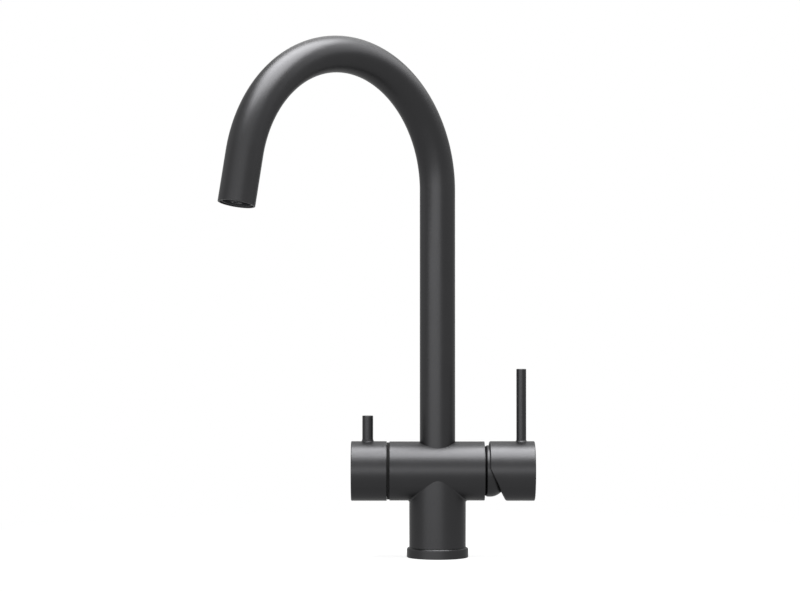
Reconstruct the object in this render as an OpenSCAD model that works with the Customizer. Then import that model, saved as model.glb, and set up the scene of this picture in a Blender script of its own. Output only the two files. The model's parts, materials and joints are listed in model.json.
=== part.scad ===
// Kitchen mixer tap with a swan-neck spout, a side mixer handle and a quarter-turn filtered-water knob.
// The barrel lies along X, Z is up, and the user stands on the -Y side.
// The origin is the middle of the foot's underside, on the axis of the riser.

/* [Foot and column] */
// Outside diameter of the ring round the foot
foot_ring_d = 50; // [49.5:0.5:56]
// Height of the foot ring
foot_ring_h = 8.4; // [7:0.2:12]
// Height of the sloped shoulder on the foot ring
foot_shoulder_h = 1.2; // [0.6:0.1:2]
// Thickness of the lip under the column
foot_lip_t = 2; // [1.8:0.1:3]
// Thickness of the rubber ring under the foot
base_seal_t = 1.2; // [0.8:0.1:1.5]
// Diameter of the column
column_d = 46; // [45:0.5:47]
// Diameter of the bore in the foot
foot_bore_d = 37; // [36.5:0.5:38]
// Height of the free space under the hose block
foot_space = 14; // [10:1:16]
// Thickness of the hose block
hose_block_t = 20; // [14:1:21]
// Core diameter of a hose thread, M10 by 1
hose_thread_d = 9; // [8.5:0.1:9.4]
// Distance of the hot and cold ports to the right of the column's axis
hose_x = 8; // [7.5:0.1:8.5]
// Distance of the hot and cold ports from the middle plane
hose_y = 7.5; // [7:0.1:8]
// Distance of the filtered-water port to the left of the column's axis
filter_port_x = 11; // [10.5:0.1:11.5]
// Core diameter of a stud hole, M8
stud_hole_d = 6.8; // [5:0.1:7]
// Depth of a stud hole
stud_hole_depth = 14; // [8:1:14]
// Distance of the stud holes to the left of the column's axis
stud_x = 3.4; // [3:0.1:3.8]
// Distance of the stud holes from the middle plane
stud_y = 11; // [10.8:0.1:11.5]

/* [Barrel] */
// Diameter of the barrel
barrel_d = 48; // [47.5:0.5:50]
// Height of the barrel's axis above the deck
barrel_h = 70; // [68:1:90]
// Edge break at the ends of the barrel
barrel_edge = 0.6; // [0.2:0.1:1]
// Diameter of the water passages
passage_d = 4.4; // [4:0.1:4.6]

/* [Spout] */
// Outside diameter of the spout tube
spout_d = 28.8; // [27.4:0.2:29.4]
// Wall of the spout tube
spout_wall = 1.5; // [1.2:0.1:1.8]
// Height at which the bend starts
bend_start = 298; // [200:1:360]
// Radius of the bend at the middle of the tube
bend_r = 103.4; // [80:0.2:125]
// Angle that the bend sweeps
bend_sweep = 168.5; // [150:0.5:180]
// Straight length after the bend
outlet_leg = 39; // [30:1:70]
// Angle of the spout in front of the barrel's left side, as it stands
spout_turn = 43.6; // [0:0.1:90]
// Edge break at the mouth of the spout
mouth_edge = 0.4; // [0.2:0.1:0.6]
// Depth of the spout tube in the barrel
spout_sink = 10; // [8:0.5:11]
// Thickness of the ring that the spout turns on
slide_ring_t = 1; // [0.8:0.1:1.5]
// Diameter of the water chamber under the spout
chamber_d = 21.2; // [20.8:0.1:21.4]
// Length of the bush below the slide ring
bush_len = 17; // [16.5:0.1:17.5]
// Length of the bush inside the spout tube
bush_grip = 12; // [8:1:16]
// Bore of the bush
bush_bore_d = 15; // [13:0.5:15.5]
// Cord diameter of the seals on the bush
bush_seal_d = 1.6; // [1.4:0.1:1.8]
// Height of the groove that the lock screw runs in
lock_groove_h = 4; // [3.9:0.1:4.4]
// Depth of that groove
lock_groove_depth = 1.55; // [1.2:0.05:1.6]
// Thread diameter of the lock screw, M5
lock_screw_d = 5; // [4:0.5:5]
// Length of the lock screw's thread
lock_screw_len = 9; // [6:0.5:9.5]

/* [Filtered water] */
// Outside diameter of the inner tube
inner_tube_d = 8; // [7:0.2:8.2]
// Wall of the inner tube
inner_tube_wall = 1; // [0.6:0.1:1.4]
// Height of the socket of the inner tube
socket_h = 10; // [8:0.5:10.5]
// Free height between the chamber's floor and the bush
chamber_space = 11; // [10.8:0.1:12]
// Outside diameter of the nozzle
nozzle_d = 8.4; // [8:0.1:9]
// Bore of the nozzle
nozzle_bore_d = 5.2; // [4:0.1:6]

/* [Aerator] */
// Depth of the aerator inside the mouth
aerator_recess = 0.8; // [0.4:0.1:2]
// Length of the aerator ring
aerator_len = 8.2; // [7:0.1:10]
// Wall of the aerator ring
aerator_wall = 2.1; // [1.6:0.1:2.4]
// Thickness of the honeycomb
screen_t = 3; // [2:0.1:3.6]
// Diameter of a cell of the honeycomb
cell_d = 1.5; // [1.2:0.1:1.6]
// Distance from cell to cell
cell_pitch = 2; // [1.9:0.1:2.4]
// Thickness of the aerator's rubber washer
aerator_seal_t = 1.5; // [1:0.1:2]

/* [Mixer cartridge] */
// Distance of the cartridge's seat from the riser's axis
cartridge_seat = 16; // [15.8:0.1:18]
// Diameter of the cartridge
cartridge_d = 35; // [34.5:0.1:35.5]
// Thickness of the cartridge's base
cartridge_base_t = 3.5; // [3.2:0.1:4]
// Thickness of the fixed ceramic disc
fixed_disc_t = 2.2; // [2:0.1:3]
// Thickness of the moving ceramic disc
moving_disc_t = 2.6; // [2.4:0.1:3]
// Diameter of the moving ceramic disc
moving_disc_d = 21; // [20.5:0.1:21.5]
// Thickness of the slide that carries the moving disc
carrier_t = 5; // [4.8:0.1:5.4]
// Diameter of the turning part
rotor_d = 28; // [27.6:0.1:28.4]
// Thickness of the turning part's flange
rotor_flange_t = 1.7; // [1.5:0.1:2]
// Thickness of the housing's shoulder
shoulder_t = 1.7; // [1.5:0.1:2]
// Length of the housing's neck
neck_len = 11; // [10.5:0.1:11.5]
// Wall of the housing's neck
neck_wall = 1.25; // [1.1:0.05:1.4]
// Distance of the stem's pin from the housing's shoulder
pin_from_shoulder = 7.4; // [7:0.1:7.6]
// Diameter of the stem's pin
stem_pin_d = 3; // [2.6:0.1:3.4]
// Width of the square stem
stem_w = 7; // [6.5:0.1:7.2]
// Diameter of the stem's ball end
ball_d = 4.4; // [4:0.1:4.6]
// Greatest tilt of the handle
lift_max = 25; // [15:1:25]
// Diameter of the ring nut's thread
nut_thread_d = 38; // [37.6:0.1:38.8]
// Length of the ring nut's thread
nut_thread_len = 4.9; // [4.5:0.1:6]
// Height of the ring nut's collar
nut_collar_h = 3.4; // [2.4:0.1:3.5]
// Distance of the inlet ports from the middle plane
inlet_y = 7; // [6.8:0.1:7.4]
// Height of the inlet ports above the barrel's axis
inlet_up = 4; // [3.6:0.1:4.4]
// Depth of the outlet port below the barrel's axis
outlet_down = 7.5; // [7.3:0.1:8]
// Diameter of the outlet port
outlet_port_d = 6.4; // [5:0.1:6.6]

/* [Dome cover] */
// Gap between the dome and the wall of the mixer handle
dome_gap = 1.3; // [1.1:0.1:1.8]
// Step from the dome down to the neck behind it
dome_step = 1.3; // [1:0.1:1.5]
// Wall of the neck behind the dome
dome_neck_wall = 1.65; // [1.5:0.05:2]
// Width of the neck behind the dome
dome_neck_w = 0.8; // [0.5:0.1:1.2]
// Distance from the barrel to where the dome starts to round off
dome_flat = 4; // [3.8:0.1:4.4]
// Radius of the dome's curve
dome_curve_r = 12.5; // [12.2:0.1:12.8]
// Wall of the dome
dome_wall = 1.5; // [1.2:0.1:1.7]
// Diameter of the opening in the dome
dome_mouth_d = 23; // [22.8:0.1:24]

/* [Mixer handle] */
// Diameter of the mixer handle
handle_d = 48.4; // [47.8:0.1:50]
// Length of the mixer handle
handle_len = 36.9; // [36:0.1:42]
// Gap between the barrel and the mixer handle
handle_gap = 3.6; // [3.4:0.1:4.2]
// Wall of the mixer handle round the dome
handle_wall = 2; // [1.6:0.1:2.2]
// Depth of the mixer handle's hollow
handle_hollow = 18.4; // [18:0.1:19]
// Length of the oblique cut along the handle's underside
cut_len = 14.9; // [14.5:0.1:17]
// Angle between the oblique cut and the upright
cut_angle = 26; // [24:0.5:30]
// Radius of the rounded outer edges
edge_r = 1.2; // [0.6:0.1:2]
// Break of the inner edges
inner_edge = 0.4; // [0.2:0.1:0.8]
// Diameter of the mixer's lever
mixer_lever_d = 8; // [7:0.1:9]
// Height of the mixer lever's top above the barrel's axis
mixer_lever_top = 83; // [60:1:120]
// Distance of the mixer's lever from the outer end
mixer_lever_in = 10.8; // [10:0.1:12]
// Diameter of the handle's grub screw, M5
handle_screw_d = 5; // [4:0.1:5.2]
// Length of a grub screw
screw_len = 8; // [6:0.5:10]

/* [Filter knob] */
// Diameter of the filter knob
knob_d = 48.4; // [47.8:0.1:50]
// Length of the filter knob
knob_len = 30; // [29:0.1:36]
// Gap between the barrel and the filter knob
knob_gap = 1.8; // [1.6:0.1:2.4]
// Depth of the filter knob's hollow
knob_hollow = 11.7; // [10.5:0.1:12]
// Wall round the filter knob's hollow
knob_wall = 3.2; // [2.5:0.1:5]
// Diameter of the recessed ring in the groove
knob_ring_d = 46.6; // [40:0.1:47]
// Thickness of the recessed ring
knob_ring_t = 1.5; // [1:0.1:1.6]
// Diameter of the filter lever
filter_lever_d = 8.8; // [8:0.1:9.6]
// Height of the filter lever's top above the barrel's axis
filter_lever_top = 45; // [38:1:60]
// Distance of the filter lever from the knob's inner end
filter_lever_in = 16.5; // [16:0.1:18]
// Diameter of the knob's grub screw, M4
knob_screw_d = 4; // [3:0.1:4.4]
// Height of the flare at the foot of a lever
flare_h = 2.8; // [2:0.1:4]
// Width of the flare at the foot of a lever
flare_w = 0.6; // [0.3:0.1:1]
// Diameter of a lever's screwed end
lever_stud_d = 5; // [4:0.1:6]

/* [Filter valve] */
// Distance of the valve's seat from the riser's axis
valve_seat = 17.5; // [17.3:0.1:19]
// Depth of the valve's bore
valve_depth = 21; // [20.5:0.1:23]
// Diameter of the valve's thread, G half
valve_thread_d = 20.9; // [20.6:0.1:21.4]
// Outside diameter of the valve's cage
cage_d = 17.2; // [17:0.1:17.4]
// Wall of the valve's cage
cage_wall = 0.9; // [0.8:0.05:1]
// Thickness of the valve's rubber seat
valve_seal_t = 2.3; // [2:0.1:2.8]
// Thickness of the spindle's head
spindle_head_t = 3.4; // [3.2:0.1:4]
// Diameter of the spindle
spindle_d = 8; // [7.6:0.1:8.4]
// Width across the flats of the valve's hexagon
valve_hex_w = 20; // [19.6:0.1:20.6]
// Thickness of the valve's hexagon
valve_hex_t = 5; // [4:0.1:5.4]
// Length of the neck on the hexagon
valve_neck_len = 3.5; // [3:0.1:3.8]
// Depth of the spindle in the knob
spindle_grip = 9.5; // [7:0.1:11]

/* [Hidden] */
$fn = 96;

// Clearances, as a gap on the radius or between faces
run_gap = 0.05;
seat_gap = 0.3;
bore_gap = 0.1;
ball_gap = 0.25;

// Colours
coat = "#3d3f41";
brass = "#b9975b";
steel = "#9a9ea3";
rubber = "#222222";
ceramic = "#e9e6df";
white_plastic = "#d9dadb";
grey_plastic = "#7e8387";

// Foot and column
foot_bore_top = foot_space + hose_block_t;
column_foot = foot_lip_t;
lip_in_r = foot_bore_d / 2 + 2;
seal_mid_r = (lip_in_r + foot_ring_d / 2) / 2;
seal_w = 2;
spanner_w = 5;
spanner_h = 3;
spanner_depth = 2;

// Spout seat and chamber, from the barrel's top downwards
seat_z = barrel_h + barrel_d / 2 - spout_sink;
ledge_z = seat_z - slide_ring_t;
bush_foot_z = ledge_z - bush_len;
chamber_floor_z = bush_foot_z - chamber_space;
bush_r = chamber_d / 2 - run_gap;
lock_share = 0.56;
lock_z = bush_foot_z + bush_len * lock_share;
bush_low_land = 1.7;
bush_high_land = 1.2;
seal_low_z = lock_z - lock_groove_h / 2 - bush_seal_d - bush_low_land;
seal_high_z = lock_z + lock_groove_h / 2 + bush_seal_d + bush_high_land;
lock_floor_r = bush_r - lock_groove_depth;
lock_tip_d = lock_groove_h - 4 * bore_gap;
lock_tip_len = 3.1;
leg_tilt = 180 - bend_sweep;
bend_draw = 0.05;
bend_lap = 0.5;
tube_bore_d = spout_d - 2 * spout_wall;
socket_wall = 2.3;
socket_floor_t = 2;
socket_d = inner_tube_d + 2 * socket_wall;
socket_seal_d = 1.2;
socket_seal_z = socket_h - 3;
spigot_d = inner_tube_d - 2;
spigot_len = 2.5;
inner_tube_foot_z = chamber_floor_z + socket_floor_t + seat_gap;
channel_drop = 5;
channel_z = chamber_floor_z - channel_drop;

// Water passages in the body
supply_x = 12;
filter_supply_x = 13;
filter_supply_y = 4.5;
valve_drop_out = 7.5;
valve_drop_x = valve_seat + valve_drop_out;
valve_drop_y = 5;
riser_d = passage_d + 0.4;
riser_over = riser_d / 2 + 0.4;

// Aerator, as depths from the mouth's rim
aerator_back = aerator_recess + aerator_len;
hub_in_d = inner_tube_d + 2.5;
hub_d = hub_in_d + 2.4;
hub_t = 2.6;
screen_back = aerator_back - hub_t - seat_gap;
nozzle_grip = 2.7;
nozzle_flange_t = 2;

// Cartridge, along the barrel from its seat outwards
cartridge_base_x = cartridge_seat + seat_gap;
cartridge_flange_t = cartridge_base_t / 2;
fixed_disc_x = cartridge_base_x + cartridge_base_t;
moving_disc_x = fixed_disc_x + fixed_disc_t;
carrier_x = moving_disc_x + moving_disc_t;
rotor_x = carrier_x + carrier_t + seat_gap;
shoulder_x = rotor_x + rotor_flange_t + seat_gap + shoulder_t;
neck_end_x = shoulder_x + neck_len;
pin_x = shoulder_x + pin_from_shoulder;
pocket_floor_t = 1.4;
ball_x = carrier_x + pocket_floor_t + seat_gap + ball_d / 2;
stem_reach = pin_x - ball_x;
disc_travel = stem_reach * sin(lift_max);
barrel_right = shoulder_x + nut_thread_len;
housing_in_d = cartridge_d - 3;
disc_d = housing_in_d - 2;
carrier_d = moving_disc_d + 1;
neck_d = rotor_d + 2 * run_gap + 2 * neck_wall;
slot_w = stem_w + seat_gap;
slot_half = (pin_x - rotor_x) * tan(lift_max) + ball_d / 2 + 0.2;
rib_y = 8;
rib_w = 2.4;
rib_h = 1.5;
rib_len = 14;
peg_d = 4;
peg_y = 13;
peg_len = 2.3;
stem_boss_wall = 3;
stem_boss_r = stem_pin_d / 2 + stem_boss_wall;
pin_inset = 0.5;
shank_d = ball_d - 0.8;
port_seal_w = 1.2;
port_seal_t = 1.4;
inlet_seal_in_d = passage_d + 1.4;
inlet_seal_d = inlet_seal_in_d + 2 * port_seal_w;
outlet_seal_in_d = outlet_port_d + 0.8;
outlet_seal_d = outlet_seal_in_d + 2 * port_seal_w;

// Mixer handle
handle_x = barrel_right + handle_gap;
handle_end_x = handle_x + handle_len;
mixer_lever_x = handle_end_x - mixer_lever_in;
stem_past_lever = 4.3;
stem_end_x = mixer_lever_x + stem_past_lever;
stud_clear = 3;
mixer_stud_foot = stem_w / 2 + stud_clear;
filter_stud_foot = spindle_d / 2 + stud_clear;
lever_seat_cut = 5;
plug_t = 2.6;
plug_edge = 0.3;
plug_sink = 0.2;
plug_bore_len = 9;
handle_bore_d = handle_d - 2 * handle_wall;
dome_d = handle_bore_d - 2 * dome_gap;
dome_neck_d = dome_d - 2 * dome_step;
nut_collar_d = dome_neck_d - 2 * dome_neck_wall - 2 * run_gap;
dome_curve_c = dome_d / 2 - dome_curve_r;
dome_slope = 0.7;

// Filter valve, along the barrel from its seat to the left
barrel_left = valve_seat + valve_depth;
valve_fixed_x = valve_seat + valve_seal_t;
valve_moving_x = valve_fixed_x + fixed_disc_t;
spindle_x = valve_moving_x + moving_disc_t;
cage_end_x = spindle_x + spindle_head_t + seat_gap;
cage_step = 0.2;
collar_x = cage_end_x + cage_step;
hex_end_x = barrel_left + valve_hex_t;
valve_neck_x = hex_end_x + valve_neck_len;
cage_in_d = cage_d - 2 * cage_wall;
valve_disc_d = cage_in_d - 2 * bore_gap;
sector_out_d = valve_disc_d - 2.4;
sector_in_d = 4;
sector_half = 38;
knob_x = barrel_left + knob_gap;
filter_lever_x = knob_x + filter_lever_in;
spindle_end_x = knob_x + knob_hollow + spindle_grip;
clip_x = valve_neck_x + seat_gap;
clip_t = 0.8;
clip_groove_d = spindle_d - 1;

// The cap over a grub screw is a little wider than the screw and lies just under the surface
function plug_d(screw_d) = screw_d + 1.4;
function plug_depth(outer_d, screw_d) =
  plug_t + plug_sink + outer_d / 2 - sqrt(pow(outer_d / 2, 2) - pow(plug_d(screw_d) / 2, 2));

// The seat of a lever lies just under the knob's round surface
function lever_seat(outer_d, lever_d) =
  let (foot_r = lever_d / 2 + flare_w) sqrt(pow(outer_d / 2, 2) - foot_r * foot_r) - 0.2;

// Points of an arc, for outlines
function arc(cx, cy, r, from, to, steps = 8) =
  [for (i = [0:steps]) let (a = from + (to - from) * i / steps) [cx + r * cos(a), cy + r * sin(a)]];

// Local Z runs outwards along the barrel; local X points down on the right and up on the left
module on_right(x) translate([x, 0, barrel_h]) rotate([0, 90, 0]) children();
module on_left(x) translate([-x, 0, barrel_h]) rotate([0, -90, 0]) children();

module pipe(d_out, d_in, h) {
  linear_extrude(h) difference() {
    circle(d = d_out);
    circle(d = d_in);
  }
}

// A turned ring of round cord
module cord_ring(mid_r, cord_d) {
  rotate_extrude() translate([mid_r, 0]) circle(d = cord_d, $fn = 32);
}

// The spout's plane stands at the angle in which the tap is shown
module in_spout_plane() rotate([0, 0, 180 + spout_turn]) children();

// A tube along the riser, the bend and the outlet leg, with its axis in the XZ plane
// Bending draws the wall a little thinner, so the straight ends lap over the bend
module swan_neck(d_out, d_in, foot_z, leg) {
  translate([0, 0, foot_z]) pipe(d_out, d_in, bend_start + bend_lap - foot_z);
  translate([bend_r, 0, bend_start])
    rotate([90, 0, 0])
      rotate([0, 0, leg_tilt])
        rotate_extrude(angle = bend_sweep)
          translate([bend_r, 0])
            difference() {
              circle(d = d_out - 2 * bend_draw);
              circle(d = d_in + 2 * bend_draw);
            }
  bend_end() translate([0, 0, -bend_lap]) pipe(d_out, d_in, leg + bend_lap);
}

// Local Z runs out of the mouth, from the end of the bend
module bend_end() {
  translate([bend_r * (1 + cos(leg_tilt)), 0, bend_start + bend_r * sin(leg_tilt)])
    rotate([0, 180 - leg_tilt, 0])
      children();
}

// Local Z runs out of the mouth, and 0 is the mouth's rim
module at_mouth(depth) in_spout_plane() bend_end() translate([0, 0, outlet_leg - depth]) children();

// A grub screw along Z, with its hexagon socket at the top
module grub_screw(d, len) {
  socket_w = d * 0.5;
  socket_depth = d * 0.5;
  difference() {
    union() {
      translate([0, 0, d * 0.1]) cylinder(d = d, h = len - d * 0.1);
      cylinder(d1 = d * 0.7, d2 = d, h = d * 0.1);
    }
    translate([0, 0, len - socket_depth])
      cylinder(d = socket_w / cos(30), h = socket_depth + 1, $fn = 6);
  }
}

// A lever that stands on its seat, with a flared foot and a screwed end below
module lever(d, len, stud_len) {
  tip_edge = 0.4;
  translate([0, 0, -stud_len]) cylinder(d = lever_stud_d, h = stud_len);
  rotate_extrude() polygon([
    [0, 0],
    [d / 2 + flare_w, 0],
    [d / 2 + flare_w * 0.35, flare_h * 0.45],
    [d / 2, flare_h],
    [d / 2, len - tip_edge],
    [d / 2 - tip_edge, len],
    [0, len]
  ]);
}

// The hole that takes such a lever, from the seat upwards and downwards
module lever_hole(d, stud_len) {
  translate([0, 0, -stud_len - seat_gap]) cylinder(d = lever_stud_d + 2 * run_gap, h = stud_len + 1);
  cylinder(d = d + 2 * flare_w + 2 * run_gap, h = lever_seat_cut);
}

// The bore of a grub screw and the wider bore of its cap, outwards along Z from the knob's axis
module screw_bore(outer_d, screw_d) {
  cylinder(d = screw_d + 2 * run_gap, h = outer_d, $fn = 48);
  translate([0, 0, outer_d / 2 - plug_depth(outer_d, screw_d)])
    cylinder(d = plug_d(screw_d) + 2 * run_gap, h = plug_bore_len, $fn = 48);
}

// The cap over a grub screw
module plug(outer_d, screw_d) {
  full_d = plug_d(screw_d);
  straight = plug_t - plug_edge;
  translate([0, 0, outer_d / 2 - plug_depth(outer_d, screw_d)]) {
    cylinder(d = full_d, h = straight, $fn = 48);
    translate([0, 0, straight]) cylinder(d1 = full_d, d2 = full_d - 2 * plug_edge, h = plug_edge, $fn = 48);
  }
}

// A turned knob: round outer edge, broken inner edge and a hollow
module knob_shape(d, len, hollow_d, hollow) {
  difference() {
    rotate_extrude() polygon(concat(
      [[0, 0], [d / 2 - inner_edge, 0], [d / 2, inner_edge]],
      arc(d / 2 - edge_r, len - edge_r, edge_r, 0, 90),
      [[0, len]]
    ));
    translate([0, 0, -1]) cylinder(d = hollow_d, h = hollow + 1);
  }
}

// Foot and column

module barrel_shape() {
  on_right(-barrel_left) rotate_extrude() polygon([
    [0, 0],
    [barrel_d / 2 - barrel_edge, 0],
    [barrel_d / 2, barrel_edge],
    [barrel_d / 2, barrel_left + barrel_right - barrel_edge],
    [barrel_d / 2 - barrel_edge, barrel_left + barrel_right],
    [0, barrel_left + barrel_right]
  ]);
}

module cartridge_bore() {
  on_right(cartridge_seat) cylinder(d = cartridge_d + 2 * bore_gap, h = barrel_right);
  on_right(shoulder_x - 0.6) cylinder(d = nut_thread_d, h = barrel_right);
  on_right(cartridge_seat - peg_len) {
    for (side = [-1, 1])
      translate([0, side * peg_y, 0]) cylinder(d = peg_d + 2 * bore_gap, h = peg_len + 1, $fn = 32);
  }
}

module valve_bore() {
  on_left(valve_seat) cylinder(d = cage_d + 1, h = barrel_left);
  on_left(collar_x - 0.5) cylinder(d = valve_thread_d + 2 * run_gap, h = barrel_left);
}

module spout_bore() {
  translate([0, 0, chamber_floor_z]) cylinder(d = chamber_d, h = barrel_h);
  translate([0, 0, ledge_z]) cylinder(d = spout_d + 2 * run_gap, h = barrel_h);
  translate([0, 0, channel_z]) cylinder(d = spigot_d, h = barrel_h, $fn = 48);
}

// Hot and cold rise from the hose block to the cartridge's seat
module inlet_passages() {
  rise = barrel_h + inlet_up - foot_bore_top;
  for (side = [-1, 1]) translate([supply_x, side * inlet_y, 0]) {
    translate([0, 0, foot_bore_top - 1]) cylinder(d = riser_d, h = rise + 1 + riser_over, $fn = 32);
    translate([0, 0, barrel_h + inlet_up])
      rotate([0, 90, 0]) cylinder(d = passage_d, h = cartridge_seat - supply_x + 1, $fn = 32);
  }
}

// Mixed water goes back from the seat into the chamber under the spout
module outlet_passage() {
  translate([0, 0, barrel_h - outlet_down])
    rotate([0, 90, 0]) cylinder(d = outlet_port_d, h = cartridge_seat + 1, $fn = 48);
}

// Filtered water rises to the valve, drops out of it and runs to the socket of the inner tube
module filter_passages() {
  translate([-filter_supply_x, filter_supply_y, foot_bore_top - 1])
    cylinder(d = riser_d, h = barrel_h - foot_bore_top + 1 + riser_over, $fn = 32);
  translate([-filter_supply_x, filter_supply_y, barrel_h])
    rotate([0, -90, 0]) cylinder(d = passage_d, h = valve_seat - filter_supply_x + 1, $fn = 32);
  translate([-valve_drop_x, -valve_drop_y, channel_z - 1])
    cylinder(d = riser_d, h = barrel_h - channel_z, $fn = 32);
  run = sqrt(valve_drop_x * valve_drop_x + valve_drop_y * valve_drop_y);
  translate([0, 0, channel_z])
    rotate([0, 0, 180 + atan2(valve_drop_y, valve_drop_x)])
      rotate([0, 90, 0]) cylinder(d = passage_d, h = run, $fn = 32);
}

module lock_screw_hole() {
  translate([0, chamber_d / 2 - 1, lock_z])
    rotate([-90, 0, 0]) cylinder(d = lock_screw_d + 2 * run_gap, h = barrel_d, $fn = 48);
}

module body_tee() {
  color(coat) difference() {
    union() {
      barrel_shape();
      translate([0, 0, column_foot]) cylinder(d = column_d, h = barrel_h - column_foot);
    }
    translate([0, 0, -1]) cylinder(d = foot_bore_d, h = foot_bore_top + 1);
    cartridge_bore();
    valve_bore();
    spout_bore();
    inlet_passages();
    outlet_passage();
    filter_passages();
    lock_screw_hole();
  }
}

module foot_ring() {
  rim_r = foot_ring_d / 2;
  hold_r = column_d / 2 + run_gap;
  break_w = 0.8;
  color(coat) rotate_extrude() difference() {
    polygon([
      [lip_in_r, 0],
      [rim_r - break_w, 0],
      [rim_r, break_w],
      [rim_r, foot_ring_h - foot_shoulder_h],
      [hold_r + 0.2, foot_ring_h],
      [hold_r, foot_ring_h],
      [hold_r, foot_lip_t],
      [lip_in_r, foot_lip_t]
    ]);
    translate([seal_mid_r - seal_w / 2 - run_gap, -1]) square([seal_w + 2 * run_gap, base_seal_t + 1]);
  }
}

module base_seal() {
  color(rubber) pipe(2 * seal_mid_r + seal_w, 2 * seal_mid_r - seal_w, base_seal_t);
}

module hose_block() {
  color(brass) difference() {
    translate([0, 0, foot_space]) cylinder(d = foot_bore_d - 2 * run_gap, h = hose_block_t);
    for (side = [-1, 1]) {
      translate([hose_x, side * hose_y, foot_space - 1])
        cylinder(d = hose_thread_d, h = hose_block_t + 2);
      translate([-stud_x, side * stud_y, foot_space - 1])
        cylinder(d = stud_hole_d, h = stud_hole_depth + 1);
      translate([foot_bore_d / 2 * side - spanner_w / 2, -spanner_h / 2, foot_space - 1])
        cube([spanner_w, spanner_h, spanner_depth + 1]);
    }
    translate([-filter_port_x, 0, foot_space - 1]) cylinder(d = hose_thread_d, h = hose_block_t + 2);
  }
}

// Spout seat

module tube_socket() {
  groove_d = inner_tube_d + 4 * run_gap + 2 * socket_seal_d;
  groove_w = socket_seal_d + 4 * run_gap;
  color(brass) translate([0, 0, chamber_floor_z]) difference() {
    union() {
      cylinder(d = socket_d, h = socket_h);
      translate([0, 0, -spigot_len]) cylinder(d = spigot_d - 2 * run_gap, h = spigot_len + 1);
    }
    translate([0, 0, -spigot_len - 1]) cylinder(d = passage_d, h = socket_h, $fn = 32);
    translate([0, 0, socket_floor_t]) cylinder(d = inner_tube_d + 2 * run_gap, h = socket_h);
    translate([0, 0, socket_seal_z - groove_w / 2]) cylinder(d = groove_d, h = groove_w);
  }
}

module tube_o_ring() {
  color(rubber) translate([0, 0, chamber_floor_z + socket_seal_z])
    cord_ring(inner_tube_d / 2 + run_gap + socket_seal_d / 2, socket_seal_d);
}

module spout_slide_ring() {
  color(white_plastic) translate([0, 0, ledge_z])
    pipe(spout_d - 2 * bore_gap, chamber_d + 2 * bore_gap, slide_ring_t);
}

module spout_lock_screw() {
  tip_y = lock_floor_r + seat_gap;
  color(steel) translate([0, tip_y, lock_z]) rotate([-90, 0, 0]) {
    cylinder(d = lock_tip_d, h = lock_tip_len + 1, $fn = 48);
    translate([0, 0, lock_tip_len]) grub_screw(lock_screw_d, lock_screw_len);
  }
}

// Spout

module spout_tube() {
  color(coat) in_spout_plane() difference() {
    swan_neck(spout_d, tube_bore_d, seat_z, outlet_leg);
    bend_end() translate([0, 0, outlet_leg]) rotate_extrude() polygon([
      [spout_d / 2 - mouth_edge - 1, 1],
      [spout_d / 2 + 1, 1],
      [spout_d / 2 + 1, -mouth_edge - 1]
    ]);
  }
}

module spout_bush() {
  groove_w = bush_seal_d + 0.4;
  groove_r = bush_r - bush_seal_d - run_gap;
  color(brass) difference() {
    union() {
      translate([0, 0, bush_foot_z]) cylinder(r = bush_r, h = seat_z - bush_foot_z);
      translate([0, 0, seat_z]) cylinder(d = tube_bore_d - 2 * run_gap, h = bush_grip);
    }
    translate([0, 0, bush_foot_z - 1])
      cylinder(d = bush_bore_d, h = bush_len + bush_grip + slide_ring_t + 2);
    for (z = [seal_low_z, seal_high_z])
      translate([0, 0, z - groove_w / 2]) pipe(chamber_d + 1, 2 * groove_r, groove_w);
    translate([0, 0, lock_z - lock_groove_h / 2]) pipe(chamber_d + 1, 2 * lock_floor_r, lock_groove_h);
  }
}

module spout_o_rings() {
  color(rubber) for (z = [seal_low_z, seal_high_z])
    translate([0, 0, z]) cord_ring(bush_r - bush_seal_d / 2, bush_seal_d);
}

module filter_tube() {
  tube_leg = outlet_leg - aerator_back + nozzle_grip - seat_gap;
  color(white_plastic) in_spout_plane()
    swan_neck(inner_tube_d, inner_tube_d - 2 * inner_tube_wall, inner_tube_foot_z, tube_leg);
}

// Aerator

module aerator_housing() {
  ring_d = tube_bore_d - 2 * run_gap;
  spokes = 4;
  spoke_w = 2;
  color(grey_plastic) at_mouth(aerator_back) {
    pipe(ring_d, ring_d - 2 * aerator_wall, aerator_len);
    linear_extrude(hub_t) difference() {
      union() {
        circle(d = hub_d);
        for (i = [0:spokes - 1])
          rotate(i * 360 / spokes)
            translate([0, -spoke_w / 2]) square([ring_d / 2 - aerator_wall / 2, spoke_w]);
      }
      circle(d = hub_in_d);
    }
  }
}

module aerator_screen() {
  screen_d = tube_bore_d - 2 * run_gap - 2 * aerator_wall - 2 * run_gap;
  hole_d = nozzle_d + 2 * run_gap;
  row_h = cell_pitch * sin(60);
  rows = ceil(screen_d / 2 / row_h);
  rim_w = 0.3;
  low_r = hole_d / 2 + cell_d / 2 + rim_w;
  high_r = screen_d / 2 - cell_d / 2 - rim_w;
  color(grey_plastic) at_mouth(screen_back) linear_extrude(screen_t) difference() {
    circle(d = screen_d);
    circle(d = hole_d);
    for (row = [-rows:rows])
      for (column = [-rows:rows])
        let (
          x = (column + (row % 2 == 0 ? 0 : 0.5)) * cell_pitch,
          y = row * row_h,
          r = sqrt(x * x + y * y)
        )
          if (r >= low_r && r <= high_r) translate([x, y]) circle(d = cell_d, $fn = 24);
  }
}

module aerator_seal() {
  color(rubber) at_mouth(aerator_back + aerator_seal_t)
    pipe(tube_bore_d - 2 * bore_gap, tube_bore_d - 2 * aerator_wall, aerator_seal_t);
}

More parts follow.
